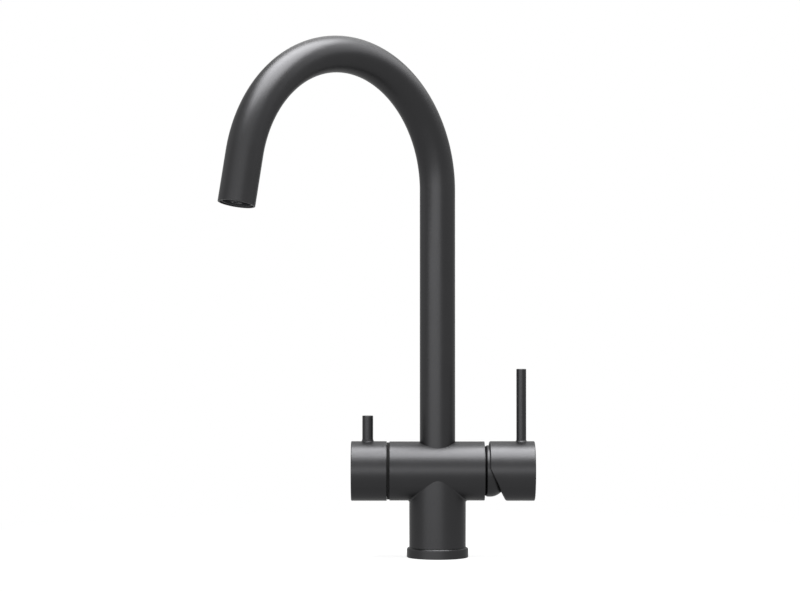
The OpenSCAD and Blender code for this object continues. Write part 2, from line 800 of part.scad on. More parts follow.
module filter_nozzle() {
  color(grey_plastic) at_mouth(aerator_back + nozzle_flange_t) difference() {
    union() {
      cylinder(d = hub_in_d + 2, h = nozzle_flange_t);
      cylinder(d = hub_in_d - 2 * run_gap, h = nozzle_flange_t + hub_t);
      cylinder(d = nozzle_d, h = nozzle_flange_t + aerator_len);
    }
    translate([0, 0, -1]) cylinder(d = nozzle_bore_d, h = aerator_back + nozzle_flange_t + 2, $fn = 48);
    translate([0, 0, -1])
      cylinder(d = inner_tube_d + 2 * run_gap, h = nozzle_grip + nozzle_flange_t + 1);
  }
}

// Mixer cartridge

// Children at both inlet ports; local Z runs along the barrel
module at_inlets() for (side = [-1, 1]) translate([-inlet_up, side * inlet_y, 0]) children();

// Children at the outlet port
module at_outlet() translate([outlet_down, 0, 0]) children();

module cartridge_base() {
  seal_room = port_seal_t - seat_gap;
  color(grey_plastic) on_right(cartridge_base_x) difference() {
    union() {
      cylinder(d = cartridge_d, h = cartridge_flange_t);
      cylinder(d = housing_in_d - 2 * run_gap, h = cartridge_base_t);
      for (side = [-1, 1])
        translate([0, side * peg_y, -peg_len]) cylinder(d = peg_d, h = peg_len + 1, $fn = 32);
    }
    at_inlets() {
      translate([0, 0, -1]) cylinder(d = passage_d, h = cartridge_base_t + 2, $fn = 32);
      translate([0, 0, -1]) cylinder(d = inlet_seal_d + 2 * run_gap, h = seal_room + 1);
    }
    at_outlet() {
      translate([0, 0, -1]) cylinder(d = outlet_port_d, h = cartridge_base_t + 2, $fn = 48);
      translate([0, 0, -1]) cylinder(d = outlet_seal_d + 2 * run_gap, h = seal_room + 1);
    }
  }
}

module cartridge_seals() {
  color(rubber) on_right(cartridge_seat) {
    at_inlets() pipe(inlet_seal_d, inlet_seal_in_d, port_seal_t);
    at_outlet() pipe(outlet_seal_d, outlet_seal_in_d, port_seal_t);
  }
}

module fixed_disc() {
  color(ceramic) on_right(fixed_disc_x) linear_extrude(fixed_disc_t) difference() {
    circle(d = disc_d);
    at_inlets() circle(d = passage_d, $fn = 32);
    at_outlet() circle(d = outlet_port_d, $fn = 48);
  }
}

module cartridge_housing() {
  shell_x = cartridge_base_x + cartridge_flange_t;
  shell_len = shoulder_x - shell_x;
  neck_edge = 0.4;
  color(white_plastic) on_right(shell_x) rotate_extrude() polygon([
    [housing_in_d / 2, 0],
    [cartridge_d / 2, 0],
    [cartridge_d / 2, shell_len],
    [neck_d / 2, shell_len],
    [neck_d / 2, shell_len + neck_len - neck_edge],
    [neck_d / 2 - neck_edge, shell_len + neck_len],
    [rotor_d / 2 + run_gap, shell_len + neck_len],
    [rotor_d / 2 + run_gap, shell_len - shoulder_t],
    [housing_in_d / 2, shell_len - shoulder_t]
  ]);
}

module cartridge_nut() {
  notches = 6;
  notch_w = 4;
  notch_depth = 1.6;
  nut_h = nut_thread_len + nut_collar_h;
  color(brass) on_right(shoulder_x) difference() {
    union() {
      cylinder(d = nut_thread_d - 2 * run_gap, h = nut_thread_len);
      translate([0, 0, nut_thread_len]) cylinder(d = nut_collar_d, h = nut_collar_h);
    }
    translate([0, 0, -1]) cylinder(d = neck_d + 2 * bore_gap, h = nut_h + 2);
    for (i = [0:notches - 1])
      rotate(i * 360 / notches)
        translate([0, -notch_w / 2, nut_h - notch_depth])
          cube([nut_thread_d, notch_w, notch_depth + 1]);
  }
}

module disc_carrier() {
  color(grey_plastic) on_right(carrier_x) difference() {
    translate([disc_travel / 2, 0, 0]) {
      cylinder(d = carrier_d, h = carrier_t);
      for (side = [-1, 1])
        translate([-rib_len / 2, side * rib_y - rib_w / 2, carrier_t - 1])
          cube([rib_len, rib_w, rib_h + 1]);
    }
    translate([0, 0, pocket_floor_t]) cylinder(d = ball_d + 2 * ball_gap, h = carrier_t, $fn = 48);
  }
}

module moving_disc() {
  mixing_d = 12.4;
  mixing_down = 2;
  mixing_depth = moving_disc_t * 0.75;
  color(ceramic) on_right(moving_disc_x) translate([disc_travel / 2, 0, 0]) difference() {
    cylinder(d = moving_disc_d, h = moving_disc_t);
    translate([mixing_down, 0, -1]) cylinder(d = mixing_d, h = mixing_depth + 1);
  }
}

module cartridge_rotor() {
  groove_w = rib_w + 2 * run_gap;
  rotor_len = neck_end_x - rotor_x + seat_gap;
  pin_hole_d = stem_pin_d + 0.02;
  color(white_plastic) on_right(rotor_x) difference() {
    union() {
      cylinder(d = housing_in_d - 2 * seat_gap, h = rotor_flange_t);
      cylinder(d = rotor_d, h = rotor_len);
    }
    translate([-slot_half, -slot_w / 2, -1]) cube([2 * slot_half, slot_w, rotor_len + 2]);
    for (side = [-1, 1])
      translate([-cartridge_d / 2, side * rib_y - groove_w / 2, -1])
        cube([cartridge_d, groove_w, rib_h + 1]);
    translate([0, -rotor_d / 2 - pin_inset, pin_x - rotor_x])
      rotate([-90, 0, 0]) cylinder(d = pin_hole_d, h = rotor_d + 2 * pin_inset, $fn = 48);
  }
}

module stem_pin() {
  pin_len = rotor_d - 2 * pin_inset;
  color(steel) translate([pin_x, -pin_len / 2, barrel_h])
    rotate([-90, 0, 0]) cylinder(d = stem_pin_d, h = pin_len, $fn = 48);
}

module cartridge_stem() {
  corner = 0.6;
  color(brass) translate([0, 0, barrel_h]) difference() {
    union() {
      translate([ball_x, 0, 0]) sphere(d = ball_d, $fn = 48);
      translate([ball_x, 0, 0]) rotate([0, 90, 0]) cylinder(d = shank_d, h = stem_reach, $fn = 48);
      translate([pin_x, -stem_w / 2, 0]) rotate([-90, 0, 0]) cylinder(r = stem_boss_r, h = stem_w);
      translate([pin_x, 0, 0]) rotate([0, 90, 0]) linear_extrude(stem_end_x - pin_x) polygon([
        [stem_w / 2 - corner, -stem_w / 2],
        [stem_w / 2, -stem_w / 2 + corner],
        [stem_w / 2, stem_w / 2 - corner],
        [stem_w / 2 - corner, stem_w / 2],
        [-stem_w / 2 + corner, stem_w / 2],
        [-stem_w / 2, stem_w / 2 - corner],
        [-stem_w / 2, -stem_w / 2 + corner],
        [-stem_w / 2 + corner, -stem_w / 2]
      ]);
    }
    translate([pin_x, -stem_w, 0])
      rotate([-90, 0, 0]) cylinder(d = stem_pin_d + 2 * run_gap, h = 2 * stem_w, $fn = 48);
  }
}

// The dome is a turned shell: a neck against the barrel, a bulge, and a curve in to its opening
module dome_cover() {
  mouth_r = dome_mouth_d / 2;
  inner_r = dome_curve_r - dome_wall;
  outer_stop = acos((dome_curve_c - mouth_r) / -dome_curve_r);
  inner_stop = acos((dome_curve_c - mouth_r) / -inner_r);
  inner_start = 8;
  thread_r = nut_collar_d / 2 + run_gap;
  color(coat) on_right(barrel_right) rotate_extrude() polygon(concat(
    [
      [thread_r, 0],
      [dome_neck_d / 2, 0],
      [dome_neck_d / 2, dome_neck_w],
      [dome_d / 2, dome_neck_w + dome_slope]
    ],
    arc(dome_curve_c, dome_flat, dome_curve_r, 0, outer_stop, 16),
    arc(dome_curve_c, dome_flat, inner_r, inner_stop, inner_start, 12),
    [[thread_r, nut_collar_h]]
  ));
}

// Mixer handle

module mixer_handle() {
  seat_up = lever_seat(handle_d, mixer_lever_d);
  under = handle_d / 2;
  lever_along = mixer_lever_x - handle_x;
  socket_len = stem_end_x - handle_x + seat_gap - handle_hollow;
  socket_w = stem_w + 2 * run_gap;
  color(coat) difference() {
    on_right(handle_x) difference() {
      knob_shape(handle_d, handle_len, handle_bore_d, handle_hollow);
      translate([-socket_w / 2, -socket_w / 2, handle_hollow - 1])
        cube([socket_w, socket_w, socket_len + 1]);
      translate([-seat_up, 0, lever_along])
        rotate([0, -90, 0]) lever_hole(mixer_lever_d, seat_up - mixer_stud_foot);
      translate([0, 0, lever_along]) rotate([0, 90, 0]) screw_bore(handle_d, handle_screw_d);
    }
    translate([handle_x + cut_len, 0, barrel_h - under])
      rotate([0, -cut_angle, 0])
        translate([-handle_d, -handle_d, -handle_d]) cube([handle_d, 2 * handle_d, 3 * handle_d]);
  }
}

module mixer_lever() {
  seat_up = lever_seat(handle_d, mixer_lever_d);
  color(coat) translate([mixer_lever_x, 0, barrel_h + seat_up])
    lever(mixer_lever_d, mixer_lever_top - seat_up, seat_up - mixer_stud_foot);
}

module handle_screw() {
  color(steel) translate([mixer_lever_x, 0, barrel_h - stem_w / 2 - run_gap])
    rotate([180, 0, 0]) grub_screw(handle_screw_d, screw_len);
}

module handle_plug() {
  color(coat) translate([mixer_lever_x, 0, barrel_h]) rotate([180, 0, 0]) plug(handle_d, handle_screw_d);
}

// Filter valve, with the ports of its two discs a quarter turn apart when it is closed

module sector_ports(d_out, d_in, turn) {
  far = d_out;
  for (side = [0, 180]) rotate(side + turn) intersection() {
    difference() {
      circle(d = d_out);
      circle(d = d_in);
    }
    polygon([
      [0, 0],
      [far * cos(sector_half), -far * sin(sector_half)],
      [far * cos(sector_half), far * sin(sector_half)]
    ]);
  }
}

module valve_seal() {
  seal_wall = 0.7;
  color(rubber) on_left(valve_seat) pipe(valve_disc_d, valve_disc_d - 2 * seal_wall, valve_seal_t);
}

module valve_fixed_disc() {
  color(ceramic) on_left(valve_fixed_x) linear_extrude(fixed_disc_t) difference() {
    circle(d = valve_disc_d);
    sector_ports(sector_out_d, sector_in_d, 90);
  }
}

module valve_moving_disc() {
  color(ceramic) on_left(valve_moving_x) linear_extrude(moving_disc_t) difference() {
    circle(d = valve_disc_d - 2 * bore_gap);
    sector_ports(sector_out_d, sector_in_d, 0);
  }
}

module valve_body() {
  window_w = 5;
  window_edge = 0.3;
  window_h = spindle_head_t - 2 * window_edge;
  cage_x = valve_seat + 0.5;
  neck_wall_d = 7;
  color(brass) difference() {
    union() {
      on_left(cage_x) cylinder(d = cage_d, h = collar_x - cage_x);
      on_left(collar_x) cylinder(d = valve_thread_d, h = barrel_left - collar_x);
      on_left(barrel_left) cylinder(d = valve_hex_w / cos(30), h = valve_hex_t, $fn = 6);
      on_left(hex_end_x) cylinder(d = spindle_d + neck_wall_d, h = valve_neck_len);
    }
    on_left(cage_x - 1) cylinder(d = cage_in_d, h = cage_end_x - cage_x + 1);
    on_left(cage_x) cylinder(d = spindle_d + 2 * run_gap, h = valve_neck_x);
    on_left(spindle_x + window_edge)
      translate([-cage_d, -window_w / 2, 0]) cube([2 * cage_d, window_w, window_h]);
  }
}

module valve_spindle() {
  teeth = 20;
  tooth_h = 0.3;
  spline_x = knob_x + knob_hollow;
  root_r = spindle_d / 2 - run_gap - tooth_h;
  head_core_d = spindle_d + 1;
  past_disc = 4;
  color(brass) difference() {
    union() {
      on_left(spindle_x) linear_extrude(spindle_head_t) difference() {
        circle(d = valve_disc_d - 4 * bore_gap);
        sector_ports(valve_disc_d + past_disc, head_core_d, 0);
      }
      on_left(spindle_x) cylinder(d = spindle_d, h = spline_x - spindle_x);
      on_left(spline_x) linear_extrude(spindle_end_x - spline_x) polygon([
        for (i = [0:2 * teeth - 1])
          let (a = i * 180 / teeth, r = root_r + (i % 2) * tooth_h) [r * cos(a), r * sin(a)]
      ]);
    }
    on_left(clip_x - run_gap) pipe(spindle_d + 2, clip_groove_d, clip_t + 2 * run_gap);
  }
}

module valve_clip() {
  clip_mouth = 3;
  clip_w = 2;
  color(steel) on_left(clip_x) linear_extrude(clip_t) difference() {
    circle(d = spindle_d + 2 * clip_w);
    circle(d = clip_groove_d + 2 * run_gap);
    translate([0, -clip_mouth / 2]) square([spindle_d, clip_mouth]);
  }
}

module knob_ring() {
  hex_clear = valve_hex_w / cos(30) + 1;
  color(rubber) on_left(barrel_left) pipe(knob_ring_d, hex_clear, knob_ring_t);
}

module filter_knob() {
  seat_up = lever_seat(knob_d, filter_lever_d);
  color(coat) on_left(knob_x) difference() {
    knob_shape(knob_d, knob_len, knob_d - 2 * knob_wall, knob_hollow);
    translate([0, 0, knob_hollow - 1])
      cylinder(d = spindle_d + 2 * run_gap, h = spindle_grip + seat_gap + 1);
    translate([seat_up, 0, filter_lever_in])
      rotate([0, 90, 0]) lever_hole(filter_lever_d, seat_up - filter_stud_foot);
    translate([0, 0, filter_lever_in]) rotate([0, -90, 0]) screw_bore(knob_d, knob_screw_d);
  }
}

module filter_lever() {
  seat_up = lever_seat(knob_d, filter_lever_d);
  color(coat) translate([-filter_lever_x, 0, barrel_h + seat_up])
    lever(filter_lever_d, filter_lever_top - seat_up, seat_up - filter_stud_foot);
}

module knob_screw() {
  color(steel) translate([-filter_lever_x, 0, barrel_h - spindle_d / 2 - run_gap])
    rotate([180, 0, 0]) grub_screw(knob_screw_d, screw_len);
}

module knob_plug() {
  color(coat) translate([-filter_lever_x, 0, barrel_h]) rotate([180, 0, 0]) plug(knob_d, knob_screw_d);
}

body_tee();
foot_ring();
base_seal();
hose_block();
tube_socket();
tube_o_ring();
spout_slide_ring();
spout_lock_screw();
cartridge_base();
cartridge_seals();
cartridge_housing();
fixed_disc();
cartridge_nut();
dome_cover();
knob_ring();
valve_body();
valve_seal();
valve_fixed_disc();
spout_tube();
spout_bush();
spout_o_rings();
filter_tube();
aerator_housing();
aerator_screen();
aerator_seal();
filter_nozzle();
cartridge_rotor();
stem_pin();
disc_carrier();
moving_disc();
cartridge_stem();
mixer_handle();
mixer_lever();
handle_screw();
handle_plug();
valve_spindle();
valve_moving_disc();
valve_clip();
filter_knob();
filter_lever();
knob_screw();
knob_plug();
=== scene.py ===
"""Looks of a kitchen mixer tap: the pieces that show, their finishes, the studio and the camera."""

import json
import math

import bpy
import numpy as np
from mathutils import Matrix, Vector
from mathutils.bvhtree import BVHTree
from mathutils.interpolate import poly_3d_calc


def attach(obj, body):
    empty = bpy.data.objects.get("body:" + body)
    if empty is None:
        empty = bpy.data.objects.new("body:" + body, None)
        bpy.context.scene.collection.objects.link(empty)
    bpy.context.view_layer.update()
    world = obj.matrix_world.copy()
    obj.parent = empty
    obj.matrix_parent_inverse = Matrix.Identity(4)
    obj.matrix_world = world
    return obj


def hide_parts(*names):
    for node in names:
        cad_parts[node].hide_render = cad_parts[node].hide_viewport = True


bl_info = {
    "name": "Kitchen mixer tap",
    "version": (1, 0, 0),
    "blender": (4, 5, 0),
    "location": "3D View > Sidebar > Mixer tap",
    "description": "Builds the pieces, the finishes and the studio of a kitchen mixer tap",
    "category": "Object",
}

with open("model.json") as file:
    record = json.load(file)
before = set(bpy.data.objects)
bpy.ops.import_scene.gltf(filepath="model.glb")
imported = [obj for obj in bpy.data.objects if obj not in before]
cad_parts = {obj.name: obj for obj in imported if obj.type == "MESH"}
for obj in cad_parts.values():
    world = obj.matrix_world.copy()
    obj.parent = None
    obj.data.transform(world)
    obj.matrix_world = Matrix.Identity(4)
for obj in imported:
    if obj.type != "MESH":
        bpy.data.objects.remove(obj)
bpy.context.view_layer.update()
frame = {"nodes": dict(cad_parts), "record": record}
MM = 0.001


def mm(*values):
    """Millimetres as metres, for numbers and for tuples of them."""
    return [mm(*value) if isinstance(value, tuple) else value * MM for value in values]


# Properties


def length(name, size, text):
    """A size that is typed in millimetres and kept in metres."""
    return bpy.props.FloatProperty(
        name=name, description=text, default=size * MM, min=0.0, precision=5, unit="LENGTH"
    )


def tone(name, code, text):
    """A colour that is kept as its sRGB hex code."""
    return bpy.props.StringProperty(name=name, description=text, default=code)


def angle(name, degrees, text):
    """An angle that is typed in degrees and kept in radians."""
    return bpy.props.FloatProperty(
        name=name, description=text, default=math.radians(degrees), unit="ROTATION", subtype="ANGLE"
    )


def number(name, value, text):
    """A number from 0 upwards."""
    return bpy.props.FloatProperty(name=name, description=text, default=value, min=0.0, precision=3)


class BodySizes(bpy.types.PropertyGroup):
    """The body: a lying barrel on an upright column, with a ring round its foot."""

    barrel_r: length("Barrel radius", 24, "Radius of the lying barrel")
    barrel_h: length("Barrel height", 70, "Height of the barrel's axis above the deck")
    barrel_right: length("Barrel right", 38.2, "Length of the barrel to the right of the riser")
    barrel_left: length("Barrel left", 39.1, "Length of the barrel to the left of the riser")
    edge: length("Edge round", 0.35, "Rounding of the barrel's two ends")
    column_r: length("Column radius", 23, "Radius of the upright column")
    column_foot: length("Column foot", 2, "Height at which the column starts")
    seam: length("Seam fillet", 1.5, "Radius of the fillet between barrel and column")
    riser_gap: length("Riser gap", 0.35, "Gap round the riser where it enters the barrel")
    foot_bore_r: length("Foot bore radius", 18.5, "Radius of the bore in the foot")
    foot_r: length("Foot radius", 25, "Outside radius of the foot ring")
    foot_h: length("Foot height", 8.1, "Height of the foot ring")
    foot_round: length("Foot round", 1.75, "Rounding of the foot ring's shoulder")
    screw_h: length("Lock screw height", 75.52, "Height of the screw at the back")


class InletSizes(bpy.types.PropertyGroup):
    """The hose block in the foot, with its ports and its stud holes."""

    block_r: length("Block radius", 18.4, "Radius of the hose block")
    block_low: length("Block foot", 14, "Height of the block's underside")
    block_high: length("Block top", 34, "Height of the block's top")
    port_r: length("Port radius", 4.5, "Radius of a hose port inside its thread")
    port_x: length("Port place", 8, "How far right of the middle the hot and cold ports are")
    port_y: length("Port spread", 7.5, "How far from the middle line the hot and cold ports are")
    filter_x: length("Filter port place", 11, "How far left of the middle the filter port is")
    stud_r: length("Stud hole radius", 3.4, "Radius of a stud hole inside its thread")
    stud_x: length("Stud place", 3.4, "How far left of the middle the stud holes are")
    stud_y: length("Stud spread", 11, "How far from the middle line the stud holes are")
    stud_top: length("Stud hole top", 28, "Height at which a stud hole's straight wall ends")
    pitch: length("Thread pitch", 1, "Pitch of the thread in the hose ports")
    ridge: length("Thread ridge", 0.28, "Half width of the thread's ridge")
    turns: number("Thread turns", 18, "Turns of the thread in a hose port")


class SpoutSizes(bpy.types.PropertyGroup):
    """The swan neck and the filtered-water outlet in its mouth."""

    tube_r: length("Tube radius", 14.4, "Outside radius of the spout tube")
    wall: length("Wall", 1.5, "Wall of the spout tube")
    foot: length("Foot", 84, "Height at which the tube stands in the barrel")
    bend_start: length("Bend start", 298, "Height at which the bend starts")
    bend_r: length("Bend radius", 103.4, "Radius of the bend at the middle of the tube")
    sweep: angle("Sweep", 168.5, "Angle that the bend sweeps")
    turn: angle("Turn", 223.6, "Angle in which the spout stands, seen from above")
    leg: length("Leg", 39.4, "Straight length after the bend")
    lip: length("Lip", 0.25, "Rounding of the mouth's rim")
    aerator_in: length("Aerator depth", 9, "How deep in the mouth the aerator stands")
    cell: length("Cell pitch", 2, "Distance from cell to cell of the honeycomb")
    cell_wall: length("Cell wall", 0.5, "Wall between two cells of the honeycomb")
    cell_low: length("Comb foot", 2.9, "Where the honeycomb starts in the aerator")
    cell_high: length("Comb top", 5.9, "Where the honeycomb ends in the aerator")


class HandleSizes(bpy.types.PropertyGroup):
    """The mixer handle, the filter knob, the dome and the levers."""

    knob_r: length("Knob radius", 24.2, "Radius of the mixer handle and the filter knob")
    handle_x: length("Handle start", 42.1, "Where the mixer handle starts, from the riser's axis")
    handle_len: length("Handle length", 36.9, "Length of the mixer handle")
    handle_bore_r: length("Handle bore radius", 22.2, "Radius of the hollow over the dome")
    handle_hollow: length("Handle hollow", 18.4, "Depth of the hollow over the dome")
    cut_len: length("Cut length", 13.3, "Length of the oblique cut along the underside")
    cut_angle: angle("Cut angle", 26, "Angle between the oblique cut and the upright")
    knob_x: length("Knob start", 41.4, "Where the filter knob starts, from the riser's axis")
    knob_len: length("Knob length", 28.9, "Length of the filter knob")
    knob_bore_r: length("Knob bore radius", 21, "Radius of the knob's hollow")
    knob_hollow: length("Knob hollow", 10.6, "Depth of the knob's hollow")
    outer_round: length("Outer round", 0.8, "Rounding of the outer ends")
    rim_round: length("Rim round", 0.25, "Rounding of the inner rims")
    handle_rim: length("Handle rim", 0.8, "Chamfer on the handle's rim over the dome")
    mixer_in: length("Mixer lever inset", 10.8, "From the handle's outer end to its lever")
    mixer_r: length("Mixer lever radius", 4, "Radius of the mixer lever")
    mixer_top: length("Mixer lever top", 153, "Height of the mixer lever's top above the deck")
    mixer_flare_h: length("Mixer flare height", 1.9, "Height of the flare at the lever's foot")
    filter_in: length("Filter lever inset", 15.4, "From the knob's inner end to its lever")
    filter_r: length("Filter lever radius", 4.4, "Radius of the filter lever")
    filter_top: length("Filter lever top", 115, "Height of the filter lever's top above the deck")
    filter_flare_h: length("Filter flare height", 2.6, "Height of the flare at the lever's foot")
    flare: length("Flare", 1.2, "Width of the flare at a lever's foot")
    dome_curve: length("Dome curve", 12.5, "Radius of the dome's round shoulder")
    dome_centre: length("Dome centre", 8.4, "Radius at which the shoulder's centre is")
    dome_flat: length("Dome flat", 4.5, "Where the dome's shoulder starts")
    dome_sweep: angle("Dome sweep", 75.6, "Angle that the dome's shoulder sweeps")
    dome_wall: length("Dome wall", 1.5, "Wall of the dome")
    dome_bore_r: length("Dome bore radius", 16.2, "Inside radius of the dome's foot")


class FinishTones(bpy.types.PropertyGroup):
    """Colours of the finishes, as sRGB hex codes, named for the slots of the record."""

    coat: tone("Gunmetal coat", "#343435", "Reflected colour of the gunmetal coat")
    coat_edge: tone("Gunmetal edge", "#dadada", "Colour of the coat seen at a low angle")
    rubber: tone("Rubber", "#0f0f0f", "Colour of the seals")
    brass: tone("Brass", "#c9a35f", "Colour of the turned brass")
    steel: tone("Steel", "#b4b7ba", "Colour of the screws")
    ceramic: tone("Ceramic", "#e6e3dc", "Colour of the sealing discs")
    white_plastic: tone("White plastic", "#d9dadb", "Colour of the white plastic")
    grey_plastic: tone("Grey plastic", "#17181a", "Colour of the aerator's plastic")


class StudioSettings(bpy.types.PropertyGroup):
    """Camera, floor and lamps."""

    lens: number("Lens", 108.72, "Focal length in millimetres on a sensor 36 mm wide")
    camera: bpy.props.FloatVectorProperty(
        name="Camera", description="Place of the camera", default=(-0.03052, -1.96797, 0.18726),
        precision=5, unit="LENGTH", subtype="TRANSLATION")
    camera_tilt: angle("Camera tilt", 90.7314, "Angle between straight down and the view")
    overhead: number("Overhead", 12.4, "Radiance of the wide softbox above the tap")
    front: number("Front fill", 3.7, "Radiance of the large fill behind the camera")
    right: number("Right softbox", 3.9, "Radiance of the softbox high on the right, behind")
    side: number("Side softbox", 2.2, "Radiance of the softbox on the right")
    left: number("Left softbox", 0.5, "Radiance of the softbox on the left")
    back: number("Back softbox", 1.8, "Radiance of the softbox high at the back")
    arch: number("Arch softbox", 10.0, "Radiance of the small softbox close above the arch")
    room: number("Room", 0.35, "Brightness of the room for matt surfaces")
    floor: tone("Floor", "#ffffff", "Colour of the floor and the background")
    paint: tone("Floor paint", "#e8e8e8", "Colour of the paint that carries the shadow")
    shadow: number("Floor glow", 0.85, "Share of even white in the floor, which thins the shadow")


GROUPS = {
    "tap_body": BodySizes,
    "tap_inlets": InletSizes,
    "tap_spout": SpoutSizes,
    "tap_handle": HandleSizes,
    "tap_tones": FinishTones,
    "tap_studio": StudioSettings,
}


# Finishes


def linear(code):
    """An sRGB hex code as the linear colour that the shaders take."""
    parts = [int(code[i:i + 2], 16) / 255 for i in (1, 3, 5)]
    return [c / 12.92 if c <= 0.04045 else ((c + 0.055) / 1.055) ** 2.4 for c in parts] + [1.0]


def add_node(tree, kind, inputs=None, **settings):
    """Add one node with its settings, and link the inputs that are given a socket or a node."""
    node = tree.nodes.new(kind)
    for key, value in settings.items():
        setattr(node, key, value)
    for key, value in (inputs or {}).items():
        if isinstance(value, bpy.types.Node):
            value = value.outputs[0]
        if isinstance(value, bpy.types.NodeSocket):
            tree.links.new(value, node.inputs[key])
        else:
            node.inputs[key].default_value = value
    return node


def new_material(name):
    """An empty material, its nodes, and the coordinates of the object itself."""
    material = bpy.data.materials.new(name)
    material.use_nodes = True
    tree = material.node_tree
    tree.nodes.clear()
    return material, tree, add_node(tree, "ShaderNodeTexCoord").outputs["Object"]


def end_material(tree, rough, low, high, height, strength, depth, values):
    """End in one shader: its roughness and its bump, with a depth in mm, follow two patterns."""
    spread = add_node(tree, "ShaderNodeMapRange",
                      {"Value": rough, "From Min": 0.3, "From Max": 0.7,
                       "To Min": low, "To Max": high})
    bump = add_node(tree, "ShaderNodeBump",
                    {"Strength": strength, "Distance": depth * MM, "Height": height})
    shader = add_node(tree, "ShaderNodeBsdfPrincipled",
                      {**values, "Roughness": spread, "Normal": bump})
    add_node(tree, "ShaderNodeOutputMaterial", {"Surface": shader})


def gunmetal_coat(tones):
    """Gunmetal PVD coat on fine-ground brass.

    The vacuum coat is a thin dark metal skin, so the highlights are soft and grey, and the
    grinding under it leaves a satin with no grain to see from a step away.
    """
    material, tree, place = new_material("gunmetal_pvd_coat")
    # Grinding leaves marks of about 0.05 mm; they are drawn at 0.4 mm so that they show at all
    grain = add_node(tree, "ShaderNodeTexNoise",
                     {"Vector": place, "Scale": 2500.0, "Detail": 3.0, "Roughness": 0.6})
    # The coat's thickness drifts over some 36 mm, which shifts the satin a little
    drift = add_node(tree, "ShaderNodeTexNoise", {"Vector": place, "Scale": 28.0, "Detail": 2.0})
    both = add_node(tree, "ShaderNodeMix", {"Factor": 0.45, "A": grain, "B": drift})
    dark, light = ([c * share for c in linear(tones.coat)[:3]] + [1.0] for share in (0.94, 1.06))
    shade = add_node(tree, "ShaderNodeMix", {"Factor": drift, "A": dark, "B": light},
                     data_type="RGBA")
    end_material(tree, both, 0.34, 0.42, grain, 0.06, 0.03,
                 {"Base Color": shade.outputs["Result"], "Metallic": 1.0,
                  "Specular Tint": linear(tones.coat_edge)})
    return material


def moulded(code, name, scale, detail, low, high, strength, depth, ior, gloss):
    """A moulded part: even in colour, with its gloss broken by the texture of the mould."""
    material, tree, place = new_material(name)
    texture = add_node(tree, "ShaderNodeTexNoise",
                       {"Vector": place, "Scale": scale, "Detail": detail})
    end_material(tree, texture, low, high, texture, strength, depth,
                 {"Base Color": linear(code), "IOR": ior, "Specular IOR Level": gloss})
    return material


def turned_metal(code, name, low, high, spacing, along):
    """Bare metal from the lathe, with fine rings round the axis that it was turned on."""
    material, tree, place = new_material(name)
    # A wave turns 20 radians in each unit, so its rings are 2 pi times this spacing apart. The
    # real ones are too fine to show, and these are just coarse enough
    rings = add_node(tree, "ShaderNodeTexWave",
                     {"Vector": place, "Scale": 1 / (20 * spacing * MM), "Distortion": 0.6,
                      "Detail": 2.0, "Detail Scale": 2.0},
                     wave_type="BANDS", bands_direction=along)
    # Handling leaves duller patches of about 6 mm
    cloud = add_node(tree, "ShaderNodeTexNoise", {"Vector": place, "Scale": 160.0, "Detail": 3.0})
    end_material(tree, cloud, low, high, rings, 0.12, 0.04,
                 {"Base Color": linear(code), "Metallic": 1.0})
    return material


# Name, scale and detail of the mould's texture, lowest and highest roughness, strength and depth
# in mm of the bump, IOR and specular level. The real textures of about 0.1 mm are too fine to show,
# so they are drawn coarser: a scale of 900 gives 1.1 mm, and 350 gives 2.9 mm
MOULDED = {
    # Nitrile rubber: nearly black and matt, because its fine texture takes most of the gloss away
    "rubber": ("moulded_nitrile_rubber", 900.0, 4.0, 0.6, 0.75, 0.15, 0.05, 1.52, 0.05),
    # Alumina, pressed, fired and lapped: off-white, and so smooth that it looks wet
    "ceramic": ("lapped_alumina_ceramic", 350.0, 2.0, 0.12, 0.2, 0.1, 0.04, 1.76, 0.5),
    # Acetal, injection-moulded: a soft gloss with the faint ripple of the mould
    "white_plastic": ("moulded_acetal", 350.0, 2.0, 0.32, 0.45, 0.1, 0.04, 1.48, 0.5),
    # The aerator's acetal comes from a spark-eroded mould, so it is dark and matt
    "grey_plastic": ("moulded_grey_acetal", 350.0, 2.0, 0.5, 0.65, 0.1, 0.04, 1.48, 0.2),
}
# Name, lowest and highest roughness, spacing in mm of the tool's rings, and the axis
TURNED = {
    # Brass: warm, with a low shine that the rings draw out
    "brass": ("turned_brass", 0.22, 0.32, 0.3, "Z"),
    # Stainless steel: cool and grey, with finer rings
    "steel": ("turned_stainless_steel", 0.25, 0.35, 0.2, "Y"),
}
MADE = {}


def finish(slot):
    """The material of a slot of the record, made once."""
    tones = bpy.context.scene.tap_tones
    if slot in MADE:
        return MADE[slot]
    if slot in MOULDED:
        MADE[slot] = moulded(getattr(tones, slot), *MOULDED[slot])
    elif slot in TURNED:
        MADE[slot] = turned_metal(getattr(tones, slot), *TURNED[slot])
    elif slot == "coat":
        MADE[slot] = gunmetal_coat(tones)
    else:
        raise ValueError("no finish for the slot " + slot)
    return MADE[slot]


# Turned shapes


